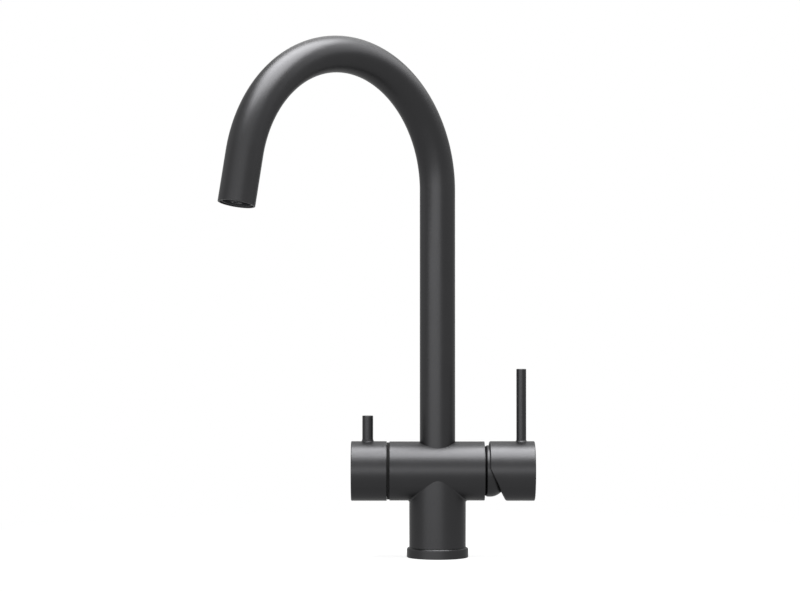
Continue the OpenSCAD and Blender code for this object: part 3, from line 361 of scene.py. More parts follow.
def outline(corners, closed=False, steps=6):
    """Spans of a turned part's outline, from corners (along, radius, rounding).

    Each span is a list of (along, radius, normal along, normal outwards). The metal lies on
    the right of the pen, and straight and round spans meet without a step in their normals.
    """
    count = len(corners)
    lines = []
    ends = []
    for i in range(count if closed else count - 1):
        a, b = corners[i], corners[(i + 1) % count]
        size = math.hypot(b[0] - a[0], b[1] - a[1])
        lines.append(((b[0] - a[0]) / size, (b[1] - a[1]) / size))
        ends.append([list(a[:2]), list(b[:2])])
    arcs = []
    for i, (along, radius, rounding) in enumerate(corners):
        if not rounding or (not closed and i in (0, count - 1)):
            continue
        into, out = lines[i - 1], lines[i % len(lines)]
        cross = into[0] * out[1] - into[1] * out[0]
        turn = math.atan2(cross, into[0] * out[0] + into[1] * out[1])
        back = rounding * math.tan(abs(turn) / 2)
        start = [along - into[0] * back, radius - into[1] * back]
        ends[i - 1][1] = start
        ends[i % len(lines)][0] = [along + out[0] * back, radius + out[1] * back]
        sign = 1 if turn > 0 else -1
        middle = (start[0] - into[1] * rounding * sign, start[1] + into[0] * rounding * sign)
        arc = []
        for k in range(steps + 1):
            a = turn * k / steps
            way = (into[1] * sign * math.cos(a) + into[0] * sign * math.sin(a),
                   -into[0] * sign * math.cos(a) + into[1] * sign * math.sin(a))
            arc.append((middle[0] + rounding * way[0], middle[1] + rounding * way[1],
                        -sign * way[0], -sign * way[1]))
        arcs.append(arc)
    spans = []
    for (a, b), (x, y) in zip(ends, lines):
        spans.append([(*a, -y, x), (*b, -y, x)])
    return spans + arcs


class Skin:
    """Points, faces and one normal for each corner, so that turned edges shade as metal does."""

    def __init__(self):
        self.points = []
        self.faces = []
        self.normals = []
        self.known = {}

    def point(self, p):
        """The number of a point, which is added where there is none yet."""
        key = (round(p[0] * 1e7), round(p[1] * 1e7), round(p[2] * 1e7))
        if key not in self.known:
            self.known[key] = len(self.points)
            self.points.append(tuple(p))
        return self.known[key]

    def face(self, corners):
        """Add a face from (point, normal) pairs, turned so that it looks the way its normals do."""
        kept = []
        for p, n in corners:
            index = self.point(p)
            if not kept or (index != kept[-1][0] and index != kept[0][0]):
                kept.append((index, n))
        if len(kept) < 3:
            return
        spots = [self.points[i] for i, _ in kept]
        across = [0.0, 0.0, 0.0]
        for a, b in zip(spots, spots[1:] + spots[:1]):
            across[0] += (a[1] - b[1]) * (a[2] + b[2])
            across[1] += (a[2] - b[2]) * (a[0] + b[0])
            across[2] += (a[0] - b[0]) * (a[1] + b[1])
        toward = [sum(n[k] for _, n in kept) for k in range(3)]
        if sum(a * t for a, t in zip(across, toward)) < 0:
            kept.reverse()
        self.faces.append([i for i, _ in kept])
        self.normals.append([tuple(n) for _, n in kept])

    def net(self, rows, around=False):
        """Faces between rows of (point, normal) pairs."""
        for row, after in zip(rows, rows[1:]):
            pairs = list(zip(row, after))
            if around:
                pairs.append(pairs[0])
            for (a, b), (d, c) in zip(pairs, pairs[1:]):
                self.face([a, b, c, d])

    def turned(self, spans, place, sides=192):
        """Turn an outline about the local Z axis of a placing matrix."""
        spin = place.to_3x3()
        turns = [(math.cos(2 * math.pi * k / sides), math.sin(2 * math.pi * k / sides))
                 for k in range(sides)]
        for span in spans:
            rows = []
            for along, radius, n_along, n_out in span:
                row = []
                for c, s in turns:
                    row.append((place @ Vector((radius * c, radius * s, along)),
                                spin @ Vector((n_out * c, n_out * s, n_along))))
                rows.append(row)
            self.net(rows, around=True)
        return self

    def add(self, other):
        """Take in another skin as a shell of its own."""
        shift = len(self.points)
        self.points += other.points
        self.faces += [[i + shift for i in face] for face in other.faces]
        self.normals += other.normals
        return self

    def mesh(self, name):
        """The skin as a mesh."""
        mesh = bpy.data.meshes.new(name)
        mesh.from_pydata(self.points, [], self.faces)
        shade(mesh, [n for face in self.normals for n in face])
        return mesh


def shade(mesh, normals):
    """Smooth shading with the given normal at each corner."""
    mesh.polygons.foreach_set("use_smooth", [True] * len(mesh.polygons))
    mesh.normals_split_custom_set(normals)
    mesh.update()


def solid(corners, place, sides=192, steps=6):
    """A turned solid, from the corners of its outline between the two ends on the axis."""
    ends = [(along, 0, 0) for along, _, _ in (corners[0], corners[-1])]
    return Skin().turned(outline([ends[0], *corners, ends[1]], steps=steps), place, sides)


def hollow(corners, place, sides=192, steps=6):
    """A turned tube or ring, from the corners all round its section."""
    return Skin().turned(outline(corners, True, steps), place, sides)


def rod(radius, start, end, place, sides, edge=0.0):
    """A plain turned rod, or the drill for a bore."""
    return solid([(start, radius, edge), (end, radius, edge)], place, sides, 4)


def ring(outer, inner, start, end, edge, place, sides=192):
    """A turned ring with round edges."""
    return hollow([(start, inner, edge), (start, outer, edge), (end, outer, edge),
                   (end, inner, edge)], place, sides, 4)


def barrel_h():
    """The height of the barrel's axis."""
    return bpy.context.scene.tap_body.barrel_h


def along_z(x=0.0, y=0.0, z=0.0):
    """Local Z runs upwards."""
    return Matrix.Translation((x, y, z))


def to_right(x=0.0):
    """Local Z runs to the right along the barrel's axis."""
    return along_z(x, 0, barrel_h()) @ Matrix.Rotation(math.pi / 2, 4, "Y")


def to_left(x=0.0):
    """Local Z runs to the left along the barrel's axis."""
    return along_z(-x, 0, barrel_h()) @ Matrix.Rotation(-math.pi / 2, 4, "Y")


def to_back(z):
    """Local Z runs to the back at a height."""
    return along_z(0, 0, z) @ Matrix.Rotation(-math.pi / 2, 4, "X")


def downwards(x, start=0.0):
    """Local Z runs downwards, from a distance under the barrel's axis."""
    return along_z(x, 0, barrel_h() - start) @ Matrix.Rotation(math.pi, 4, "X")


def lever_places():
    """Where the mixer lever and the filter lever stand along the barrel's axis."""
    h = bpy.context.scene.tap_handle
    return h.handle_x + h.handle_len - h.mixer_in, -h.knob_x - h.filter_in


# Objects


def in_scene(name, data):
    """A new object in the scene."""
    obj = bpy.data.objects.new(name, data)
    bpy.context.scene.collection.objects.link(obj)
    return obj


def discard(*objects):
    """Take scratch objects and their meshes out again."""
    for obj in objects:
        mesh = obj.data
        bpy.data.objects.remove(obj)
        bpy.data.meshes.remove(mesh)


def evaluated(obj, name):
    """The plain mesh that an object's modifiers give."""
    depsgraph = bpy.context.evaluated_depsgraph_get()
    mesh = bpy.data.meshes.new_from_object(obj.evaluated_get(depsgraph))
    mesh.name = name
    return mesh


def machined(name, blank, drills=(), joined=()):
    """Join and drill skins, and give the result back the normals of the skins it came from."""
    target = in_scene(name + "_blank", blank.mesh(name + "_blank"))
    tools = []
    for skin, operation in [(s, "UNION") for s in joined] + [(s, "DIFFERENCE") for s in drills]:
        tool = in_scene(name + "_tool", skin.mesh(name + "_tool"))
        modifier = target.modifiers.new("machine", "BOOLEAN")
        modifier.operation = operation
        modifier.solver = "EXACT"
        modifier.object = tool
        tools.append(tool)
    mesh = evaluated(target, name)
    discard(target, *tools)
    lend_normals(mesh, [blank, *joined, *drills])
    return mesh


def lend_normals(mesh, skins):
    """Give each corner the normal of the skin that its face lies on."""
    whole = Skin()
    for skin in skins:
        whole.add(skin)
    tree = BVHTree.FromPolygons(whole.points, whole.faces)
    spots = [Vector(p) for p in whole.points]
    near = 0.03 * MM
    corner_normals = []
    for polygon in mesh.polygons:
        facing = polygon.normal
        found = tree.find_nearest_range(polygon.center, near) or [tree.find_nearest(polygon.center)]
        best = max(found, key=lambda hit: abs(hit[1].dot(facing)))[2]
        source = [spots[i] for i in whole.faces[best]]
        for i in polygon.vertices:
            normal = Vector((0, 0, 0))
            weights = poly_3d_calc(source, mesh.vertices[i].co)
            for weight, n in zip(weights, whole.normals[best]):
                normal += weight * Vector(n)
            if normal.dot(facing) < 0:
                normal = -normal
            # A blend that is too weak or leans too far isn't a normal of this face
            if normal.length < 0.5 or normal.normalized().dot(facing) < 0.5:
                normal = facing.copy()
            corner_normals.append(normal.normalized())
    shade(mesh, corner_normals)


def show(name, shape, slot, body, *nodes):
    """Put a piece, a skin or a mesh, in the scene on its body, in place of its CAD nodes."""
    mesh = shape.mesh(name) if isinstance(shape, Skin) else shape
    mesh.name = name
    mesh.materials.clear()
    mesh.materials.append(finish(slot))
    piece = in_scene(name, mesh)
    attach(piece, body)
    if nodes:
        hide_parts(*nodes)


def grown(name, build, sizes, slot, start=None):
    """Build a geometry tree, run it on a mesh with its inputs set, and return the plain mesh."""
    tree = bpy.data.node_groups.new(name, "GeometryNodeTree")
    kinds = {"Geometry": "NodeSocketGeometry", "Material": "NodeSocketMaterial"}
    for label in ("Geometry", *sizes, "Material"):
        tree.interface.new_socket(name=label, in_out="INPUT",
                                  socket_type=kinds.get(label, "NodeSocketFloat"))
    tree.interface.new_socket(name="Geometry", in_out="OUTPUT", socket_type=kinds["Geometry"])
    given = tree.nodes.new("NodeGroupInput").outputs
    real = add_node(tree, "GeometryNodeRealizeInstances", {"Geometry": build(tree, given)})
    coated = add_node(tree, "GeometryNodeSetMaterial",
                      {"Geometry": real, "Material": given["Material"]})
    add_node(tree, "NodeGroupOutput", {"Geometry": coated})
    obj = in_scene(name + "_grown", start or bpy.data.meshes.new(name + "_start"))
    modifier = obj.modifiers.new("grow", "NODES")
    modifier.node_group = tree
    values = {**sizes, "Material": finish(slot)}
    for item in tree.interface.items_tree:
        if item.in_out == "INPUT" and item.name in values:
            modifier[item.identifier] = values[item.name]
    mesh = evaluated(obj, name)
    obj.modifiers.remove(modifier)
    discard(obj)
    return mesh


# Pieces


class TAP_OT_body(bpy.types.Operator):
    """Turn the barrel and the column, join them with a fillet and drill them"""

    bl_idname = "tap.body"
    bl_label = "Body"

    def execute(self, context):
        b = context.scene.tap_body
        left, right = -b.barrel_left, b.barrel_right
        barrel = solid([(left, b.barrel_r, b.edge), (right, b.barrel_r, b.edge)], to_right())
        column = solid([(b.column_foot, b.column_r, 0.3 * MM), (b.barrel_h, b.column_r, 0)],
                       along_z())
        riser_r = context.scene.tap_spout.tube_r + b.riser_gap
        block_high = context.scene.tap_inlets.block_high
        drills = [
            # The riser's seat, the water chamber under it and the hose block's bore
            rod(riser_r, *mm(83, 100), along_z(), 192),
            rod(*mm(10.6, 55, 90), along_z(), 96),
            rod(b.foot_bore_r, 0, block_high, along_z(), 128),
            # The cartridge's bore and the thread of its nut
            rod(*mm(17.6, 16, 50), to_right(), 128),
            solid(mm((0, 19, 0), (5.6, 19, 0), (6.6, 20, 0)), to_right(right - 5.3 * MM), 128),
            # The valve's bore and its thread
            rod(*mm(9.1, 17.5, 50), to_left(), 96),
            rod(*mm(10.5, 31, 50), to_left(), 96),
            # The lock screw's bore
            rod(*mm(2.6, 8, 40), to_back(b.screw_h), 48),
        ]
        joined = in_scene("joined", machined("body", barrel, drills, [column]))
        seam = in_scene("seam", self.seam(b).mesh("seam"))
        with context.temp_override(active_object=joined, object=joined,
                                   selected_editable_objects=[joined, seam]):
            bpy.ops.object.join()
        mesh = joined.data
        bpy.data.objects.remove(joined)
        show("tap_body_shell", mesh, "coat", "tap_body", "body_tee")
        return {"FINISHED"}

    def seam(self, b, turns=288, steps=6):
        """The fillet that a ball would leave, rolled round the corner of barrel and column."""
        skin = Skin()
        r = b.seam
        # How far the fillet's edges sink into the metal, and how thick it is behind its middle
        sink, thick = mm(0.012, 0.5)
        rows = []
        for k in range(turns + 1):
            a = 2 * math.pi * k / turns
            out = Vector((math.cos(a), math.sin(a), 0))
            y = (b.column_r + r) * out.y
            drop = math.sqrt((b.barrel_r + r) ** 2 - y * y)
            centre = Vector(((b.column_r + r) * out.x, y, b.barrel_h - drop))
            to_barrel = Vector((0, -y, drop)).normalized()
            lean = (-out).angle(to_barrel)
            row = []
            for i in range(steps + 1):
                t = i / steps
                way = to_barrel * math.sin(t * lean) - out * math.sin((1 - t) * lean)
                way.normalize()
                reach = r + sink if i in (0, steps) else r
                row.append((centre + way * reach, -way))
            middle = (to_barrel - out).normalized()
            rows.append((row, centre + middle * (r / math.cos(lean / 2) + thick)))
        skin.net([row for row, _ in rows])
        for (row, inner), (after, inner_after) in zip(rows, rows[1:]):
            for i in (0, steps):
                edge, edge_after = row[i][0], after[i][0]
                side = (edge - inner).cross(edge_after - edge).normalized()
                if side.dot(edge - row[steps - i][0]) < 0:
                    side = -side
                skin.face([(spot, side) for spot in (edge, edge_after, inner_after, inner)])
        return skin


class TAP_OT_foot(bpy.types.Operator):
    """Turn the foot ring and its rubber ring"""

    bl_idname = "tap.foot"
    bl_label = "Foot ring"

    def execute(self, context):
        b = context.scene.tap_body
        # The lip's radius, the groove's radii and depth, the edges' roundings and the column's gap
        lip, groove_in, groove_out, deep, edge, rounding, gap = mm(20.5, 21.7, 23.8, 1.3, 0.2, 0.6,
                                                                   0.05)
        hold = b.column_r + gap
        show("tap_foot_ring", hollow([
            (0, lip, edge), (0, groove_in, 0), (deep, groove_in, 0), (deep, groove_out, 0),
            (0, groove_out, 0), (0, b.foot_r, rounding), (b.foot_h, b.foot_r, b.foot_round),
            (b.foot_h, hold, 0), (b.column_foot, hold, 0), (b.column_foot, lip, edge),
        ], along_z()), "coat", "tap_body", "foot_ring")
        show("tap_foot_seal", ring(*mm(23.75, 21.75, 0, 1.2, 0.3), along_z()), "rubber",
             "tap_body", "base_seal")
        return {"FINISHED"}


class TAP_OT_spout(bpy.types.Operator):
    """Draw the spout tube and bend it to the swan neck"""

    bl_idname = "tap.spout"
    bl_label = "Spout"

    def execute(self, context):
        s = context.scene.tap_spout
        top = s.bend_start + s.bend_r * s.sweep + s.leg
        inner = s.tube_r - s.wall
        spans = outline([(s.foot, inner, 0), (s.foot, s.tube_r, 0.2 * MM), (top, s.tube_r, s.lip),
                         (top, inner, s.lip)], closed=True)
        skin = Skin().turned([self.finer(span) for span in spans], along_z(), 128)
        start = skin.mesh("spout_straight")
        store = start.attributes.new("tube_normal", "FLOAT_VECTOR", "CORNER")
        store.data.foreach_set("vector", [c for face in skin.normals for n in face for c in n])
        mesh = grown("bend_swan_neck", self.bend, {
            "Bend Start": s.bend_start, "Bend Radius": s.bend_r, "Sweep": s.sweep,
            "Turn": s.turn}, "coat", start)
        store = mesh.attributes["tube_normal"]
        normals = np.empty(len(mesh.loops) * 3)
        store.data.foreach_get("vector", normals)
        mesh.attributes.remove(store)
        shade(mesh, normals.reshape(-1, 3))
        show("tap_spout_tube", mesh, "coat", "spout", "spout_tube")
        return {"FINISHED"}

    def finer(self, span):
        """A long straight span in rows of about 2 mm, so that it can bend."""
        a, b = span[0], span[-1]
        rows = int(abs(b[0] - a[0]) / (2.2 * MM))
        if len(span) > 2 or rows < 2:
            return span
        return [tuple(a[k] + (b[k] - a[k]) * i / rows for k in range(4)) for i in range(rows + 1)]

    def bend(self, tree, given):
        """Bend a straight tube that stands on Z: straight, one even bend, and straight again."""
        place = add_node(tree, "GeometryNodeInputPosition")
        parts = add_node(tree, "ShaderNodeSeparateXYZ", {0: place}).outputs
        known = {"z": parts["Z"], "start": given["Bend Start"], "radius": given["Bend Radius"],
                 "sweep": given["Sweep"]}
        # The angle reached, the straight lengths before and after, and where they lead
        for name, operation, a, b in (
                ("past", "SUBTRACT", "z", "start"),
                ("angle", "DIVIDE", "past", "radius"),
                ("angle up", "MAXIMUM", "angle", 0.0),
                ("bent", "MINIMUM", "angle up", "sweep"),
                ("before", "MINIMUM", "past", 0.0),
                ("bend length", "MULTIPLY", "radius", "sweep"),
                ("beyond", "SUBTRACT", "past", "bend length"),
                ("after", "MAXIMUM", "beyond", 0.0),
                ("sine", "SINE", "bent", 0.0),
                ("cosine", "COSINE", "bent", 0.0),
                ("fall", "SUBTRACT", 1.0, "cosine"),
                ("bend out", "MULTIPLY", "radius", "fall"),
                ("leg out", "MULTIPLY", "after", "sine"),
                ("out", "ADD", "bend out", "leg out"),
                ("foot", "ADD", "start", "before"),
                ("bend up", "MULTIPLY", "radius", "sine"),
                ("leg up", "MULTIPLY", "after", "cosine"),
                ("rise", "ADD", "bend up", "leg up"),
                ("up", "ADD", "foot", "rise")):
            known[name] = add_node(tree, "ShaderNodeMath", {0: known.get(a, a), 1: known.get(b, b)},
                                   operation=operation)
        centre = add_node(tree, "ShaderNodeCombineXYZ", {"X": known["out"], "Z": known["up"]})
        section = add_node(tree, "ShaderNodeCombineXYZ", {"X": parts["X"], "Y": parts["Y"]})
        normal = add_node(tree, "GeometryNodeInputNamedAttribute", {"Name": "tube_normal"},
                          data_type="FLOAT_VECTOR")
        section, normal = (
            add_node(tree, "ShaderNodeVectorRotate", {"Vector": node, "Angle": known["bent"]},
                     rotation_type="Y_AXIS") for node in (section, normal))
        spot = add_node(tree, "ShaderNodeVectorMath", {0: centre, 1: section}, operation="ADD")
        spot, normal = (
            add_node(tree, "ShaderNodeVectorRotate", {"Vector": node, "Angle": given["Turn"]},
                     rotation_type="Z_AXIS") for node in (spot, normal))
        kept = add_node(tree, "GeometryNodeStoreNamedAttribute",
                        {"Geometry": given["Geometry"], "Name": "tube_normal", "Value": normal},
                        data_type="FLOAT_VECTOR", domain="CORNER")
        return add_node(tree, "GeometryNodeSetPosition", {"Geometry": kept, "Position": spot})


def at_mouth(sizes, depth):
    """Local Z runs out of the mouth, and 0 is a depth inside its rim."""
    bend = along_z(sizes.bend_r * (1 - math.cos(sizes.sweep)), 0,
                   sizes.bend_start + sizes.bend_r * math.sin(sizes.sweep))
    return (Matrix.Rotation(sizes.turn, 4, "Z") @ bend @ Matrix.Rotation(sizes.sweep, 4, "Y")
            @ along_z(z=sizes.leg - depth))


class TAP_OT_aerator(bpy.types.Operator):
    """Build the aerator ring, its honeycomb and the filtered-water nozzle"""

    bl_idname = "tap.aerator"
    bl_label = "Aerator"

    def execute(self, context):
        s = context.scene.tap_spout
        place = at_mouth(s, s.aerator_in)
        bore = s.tube_r - s.wall
        # Height, and half the width, of the four spokes that hold the hub
        spoke_h, spoke_half = mm(2.6, 1)
        housing = ring(bore - 0.05 * MM, bore - 2.15 * MM, *mm(0, 8.2, 0.35), place, 128)
        housing.add(ring(*mm(6.45, 5.25), 0, spoke_h, 0.15 * MM, place, 96))
        for k in range(4):
            self.spoke(housing, place @ Matrix.Rotation(k * math.pi / 2, 4, "Z"), 6.3 * MM,
                       bore - 1.1 * MM, spoke_half, spoke_h)
        show("tap_aerator_ring", housing, "grey_plastic", "spout", "aerator_housing")
        comb_r, edge = bore - 2.2 * MM, 0.2 * MM
        comb = grown("honeycomb", self.comb, {
            "Pitch": s.cell, "Wall": s.cell_wall, "Height": s.cell_high - s.cell_low - 2 * edge,
            "Outer": comb_r - 0.6 * MM, "Inner": 5 * MM}, "grey_plastic")
        comb.transform(place @ along_z(z=s.cell_low + edge))
        show("tap_aerator_comb", comb, "grey_plastic", "spout", "aerator_screen")
        rims = ring(comb_r, comb_r - 0.95 * MM, s.cell_low, s.cell_high, edge, place, 96)
        rims.add(ring(*mm(5.2, 4.25), s.cell_low, s.cell_high, edge, place, 64))
        show("tap_aerator_comb_rims", rims, "grey_plastic", "spout")
        show("tap_filter_nozzle", hollow(mm(
            (-2, 4.05, 0), (-2, 6.25, 0), (0, 6.25, 0), (0, 5.2, 0), (2.6, 5.2, 0), (2.6, 4.2, 0),
            (8.2, 4.2, 0.5), (8.2, 2.6, 0.3), (2.7, 2.6, 0), (2.7, 4.05, 0)), place, 96),
            "grey_plastic", "spout", "filter_nozzle")
        return {"FINISHED"}

    def spoke(self, skin, place, start, end, half, height):
        """A square bar from the hub to the ring."""
        spin = place.to_3x3()
        spots = [place @ Vector((x, y, z)) for x in (start, end) for y in (-half, half)
                 for z in (0, height)]
        for corners, way in (((0, 1, 3, 2), (-1, 0, 0)), ((4, 5, 7, 6), (1, 0, 0)),
                             ((0, 1, 5, 4), (0, -1, 0)), ((2, 3, 7, 6), (0, 1, 0)),
                             ((0, 2, 6, 4), (0, 0, -1)), ((1, 3, 7, 5), (0, 0, 1))):
            skin.face([(spots[i], spin @ Vector(way)) for i in corners])

    def comb(self, tree, given, across=12):
        """Six-sided cells on a six-sided grid, kept between two radii."""
        known = {"index": add_node(tree, "GeometryNodeInputIndex"),
                 "pitch": given["Pitch"], "wall": given["Wall"], "height": given["Height"]}
        # The place of each cell, and the radii of its corners outside and inside its wall
        half_row = across / 2 - 0.5
        slant = 2 * math.cos(math.pi / 6)
        for name, operation, a, b in (
                ("rows", "DIVIDE", "index", float(across)),
                ("row", "FLOOR", "rows", 0.0),
                ("column", "MODULO", "index", float(across)),
                ("odd", "MODULO", "row", 2.0),
                ("shift", "MULTIPLY", "odd", 0.5),
                ("shifted", "ADD", "column", "shift"),
                ("right", "SUBTRACT", "shifted", half_row + 0.25),
                ("x", "MULTIPLY", "right", "pitch"),
                ("up", "SUBTRACT", "row", half_row),
                ("row pitch", "MULTIPLY", "pitch", math.sin(math.pi / 3)),
                ("y", "MULTIPLY", "up", "row pitch"),
                ("outer", "DIVIDE", "pitch", slant),
                ("thick", "DIVIDE", "wall", slant),
                ("inner", "SUBTRACT", "outer", "thick"),
                ("both", "ADD", "outer", "inner"),
                ("middle", "DIVIDE", "both", 2.0),
                ("width", "SUBTRACT", "outer", "inner"),
                ("half height", "DIVIDE", "height", 2.0)):
            known[name] = add_node(tree, "ShaderNodeMath", {0: known.get(a, a), 1: known.get(b, b)},
                                   operation=operation)
        spot = add_node(tree, "ShaderNodeCombineXYZ", {"X": known["x"], "Y": known["y"]})
        cloud = add_node(tree, "GeometryNodePoints", {"Count": across * across, "Position": spot})
        at = add_node(tree, "GeometryNodeInputPosition")
        far = add_node(tree, "ShaderNodeVectorMath", {0: at}, operation="LENGTH").outputs["Value"]
        beyond, within = (
            add_node(tree, "ShaderNodeMath", {0: far, 1: given[limit]}, operation=operation)
            for limit, operation in (("Outer", "GREATER_THAN"), ("Inner", "LESS_THAN")))
        gone = add_node(tree, "FunctionNodeBooleanMath", {0: beyond, 1: within}, operation="OR")
        kept = add_node(tree, "GeometryNodeDeleteGeometry", {"Geometry": cloud, "Selection": gone})
        # One cell: a six-sided ring drawn as a square profile swept along a six-sided curve
        path = add_node(tree, "GeometryNodeCurvePrimitiveCircle",
                        {"Resolution": 6, "Radius": known["middle"]})
        lift = add_node(tree, "ShaderNodeCombineXYZ", {"Z": known["half height"]})
        lifted = add_node(tree, "GeometryNodeTransform", {
            "Geometry": path, "Rotation": (0, 0, math.pi / 6), "Translation": lift})
        profile = add_node(tree, "GeometryNodeCurvePrimitiveQuadrilateral",
                           {"Width": known["width"], "Height": given["Height"]})
        cell = add_node(tree, "GeometryNodeCurveToMesh",
                        {"Curve": lifted, "Profile Curve": profile})
        cells = add_node(tree, "GeometryNodeInstanceOnPoints", {"Points": kept, "Instance": cell})
        return add_node(tree, "GeometryNodeSetShadeSmooth",
                        {"Geometry": cells, "Shade Smooth": False})


class TAP_OT_dome(bpy.types.Operator):
    """Turn the dome over the cartridge and the ring behind the filter knob"""

    bl_idname = "tap.dome"
    bl_label = "Dome and knob ring"

    def execute(self, context):
        b, h = context.scene.tap_body, context.scene.tap_handle
        sine, cosine = math.sin(h.dome_sweep), math.cos(h.dome_sweep)
        half_tan = math.tan(h.dome_sweep / 2)
        full = h.dome_centre + h.dome_curve
        inner = h.dome_curve - h.dome_wall
        edge = 0.2 * MM
        show("tap_dome", hollow([
            # The foot and the stepped neck
            (0, h.dome_bore_r, 0), *mm((0, 19.4, 0), (0.4, 19.4, 0.1), (0.7, 20.1, 0.3)),
            # The shoulder outside, the mouth, and the shoulder inside
            (2.2 * MM, full, 1.5 * MM), (h.dome_flat + h.dome_curve * half_tan, full, h.dome_curve),
            (h.dome_flat + h.dome_curve * sine, h.dome_centre + h.dome_curve * cosine, edge),
            (h.dome_flat + inner * sine, h.dome_centre + inner * cosine, edge),
            (h.dome_flat + inner * half_tan, full - h.dome_wall, inner),
            (3.2 * MM, full - h.dome_wall, 0), (3.2 * MM, h.dome_bore_r, 0),
        ], to_right(b.barrel_right), steps=14), "coat", "tap_body", "dome_cover")
        # A collar on the ring reaches into the knob's hollow, so nothing shows through the groove
        show("tap_knob_ring", hollow(mm(
            (0, 12.1, 0), (0, 23.2, 0), (2.15, 23.2, 0.15), (2.15, 20.6, 0), (4, 20.6, 0.3),
            (4, 18.6, 0.3), (2, 18.6, 0), (2, 12.1, 0)), to_left(b.barrel_left)),
            "rubber", "tap_body", "knob_ring")
        return {"FINISHED"}


def screw_bores(x, cap_r, cap_start, screw_r):
    """Drills for the cap and for the grub screw under a lever."""
    deep = 30 * MM
    return [rod(cap_r, 0, deep, downwards(x, cap_start), 64),
            rod(screw_r, 0, deep, downwards(x), 48)]


class TAP_OT_handle(bpy.types.Operator):
    """Turn the mixer handle, cut it obliquely and drill it"""

    bl_idname = "tap.handle"
    bl_label = "Mixer handle"

    def execute(self, context):
        drills = screw_bores(lever_places()[0], *mm(3.25, 21.3, 2.55))
        mesh = machined("tap_mixer_handle", self.blank(context.scene.tap_handle), drills)
        show("tap_mixer_handle", mesh, "coat", "mixer_grip", "mixer_handle")
        return {"FINISHED"}

    def blank(self, h, sides=240):
        """The handle before it is drilled, with a section at each end of its oblique cut."""
        skin = Skin()
        place = to_right(h.handle_x)
        spin = place.to_3x3()
        slope = math.tan(h.cut_angle)
        kink = h.cut_len / slope - h.knob_r
        marks = set(2 * math.pi * k / sides for k in range(sides))
        for r in (h.knob_r, h.handle_bore_r):
            marks.update((math.acos(kink / r), 2 * math.pi - math.acos(kink / r)))
        marks = sorted(marks)
        sections = [self.section(h, a, slope) for a in marks]
        for spans in zip(*sections):
            strip = []
            for a, span in zip(marks, spans):
                line = []
                for along, radius, normal in span:
                    # Local X points down on the right side, so the angle is counted from above
                    p = Vector((-radius * math.cos(a), radius * math.sin(a), along))
                    line.append((place @ p, spin @ normal))
                strip.append(line)
            skin.net(strip + strip[:1])
        return skin

    def section(self, h, a, slope, steps=8):
        """Spans of one half section at an angle from the top, with normals in the local frame."""
        outer, bore = h.knob_r, h.handle_bore_r
        rounding, chamfer, end, end_round = h.rim_round, h.handle_rim, h.handle_len, h.outer_round
        up, down = Vector((0, 0, 1)), Vector((0, 0, -1))
        outwards = Vector((-math.cos(a), math.sin(a), 0))
        foot_o = h.cut_len - (outer * math.cos(a) + outer) * slope
        foot_i = h.cut_len - (bore * math.cos(a) + outer) * slope
        low_o, low_i = max(0.0, foot_o), max(0.0, foot_i)
        rim = Vector((slope, 0, -1)).normalized() if foot_i + foot_o > 1e-9 else down
        lean = (low_o - low_i) / (outer - bore)
        arc = []
        for k in range(steps + 1):
            t = math.pi / 2 * k / steps
            arc.append((end - end_round + end_round * math.cos(t),
                        outer - end_round + end_round * math.sin(t),
                        outwards * math.sin(t) + up * math.cos(t)))
        slant = (outwards + rim).normalized()
        chamfer_in = low_o - lean * chamfer, outer - chamfer
        round_out = low_i + lean * rounding, bore + rounding
        round_in = low_i + rounding, bore
        return [
            [(end, 0, up), (end, outer - end_round, up)],
            arc,
            [(end - end_round, outer, outwards), (low_o + chamfer, outer, outwards)],
            [(low_o + chamfer, outer, slant), (*chamfer_in, slant)],
            [(*chamfer_in, rim), (*round_out, rim)],
            self.blend(round_out, (low_i, bore), round_in, rim, -outwards),
            [(*round_in, -outwards), (h.handle_hollow, bore, -outwards)],
            [(h.handle_hollow, bore, down), (h.handle_hollow, 0, down)],
        ]

    def blend(self, start, corner, end, first, last, steps=4):
        """A small round between two faces, drawn as a curve that leaves the corner out."""
        span = []
        for k in range(steps + 1):
            t = k / steps
            w = ((1 - t) ** 2, 2 * t * (1 - t), t * t)
            along, radius = (w[0] * start[i] + w[1] * corner[i] + w[2] * end[i] for i in (0, 1))
            span.append((along, radius, (first * (1 - t) + last * t).normalized()))
        return span


class TAP_OT_knob(bpy.types.Operator):
    """Turn and drill the filter knob"""

    bl_idname = "tap.knob"
    bl_label = "Filter knob"

    def execute(self, context):
        h = context.scene.tap_handle
        blank = solid([
            (h.knob_hollow, h.knob_bore_r, 0), (0, h.knob_bore_r, h.rim_round),
            (0, h.knob_r, h.rim_round), (h.knob_len, h.knob_r, h.outer_round),
        ], to_left(h.knob_x), steps=8)
        drills = screw_bores(lever_places()[1], *mm(2.75, 21.4, 2.05))
        mesh = machined("tap_filter_knob", blank, drills)
        show("tap_filter_knob", mesh, "coat", "filter_grip", "filter_knob")
        return {"FINISHED"}


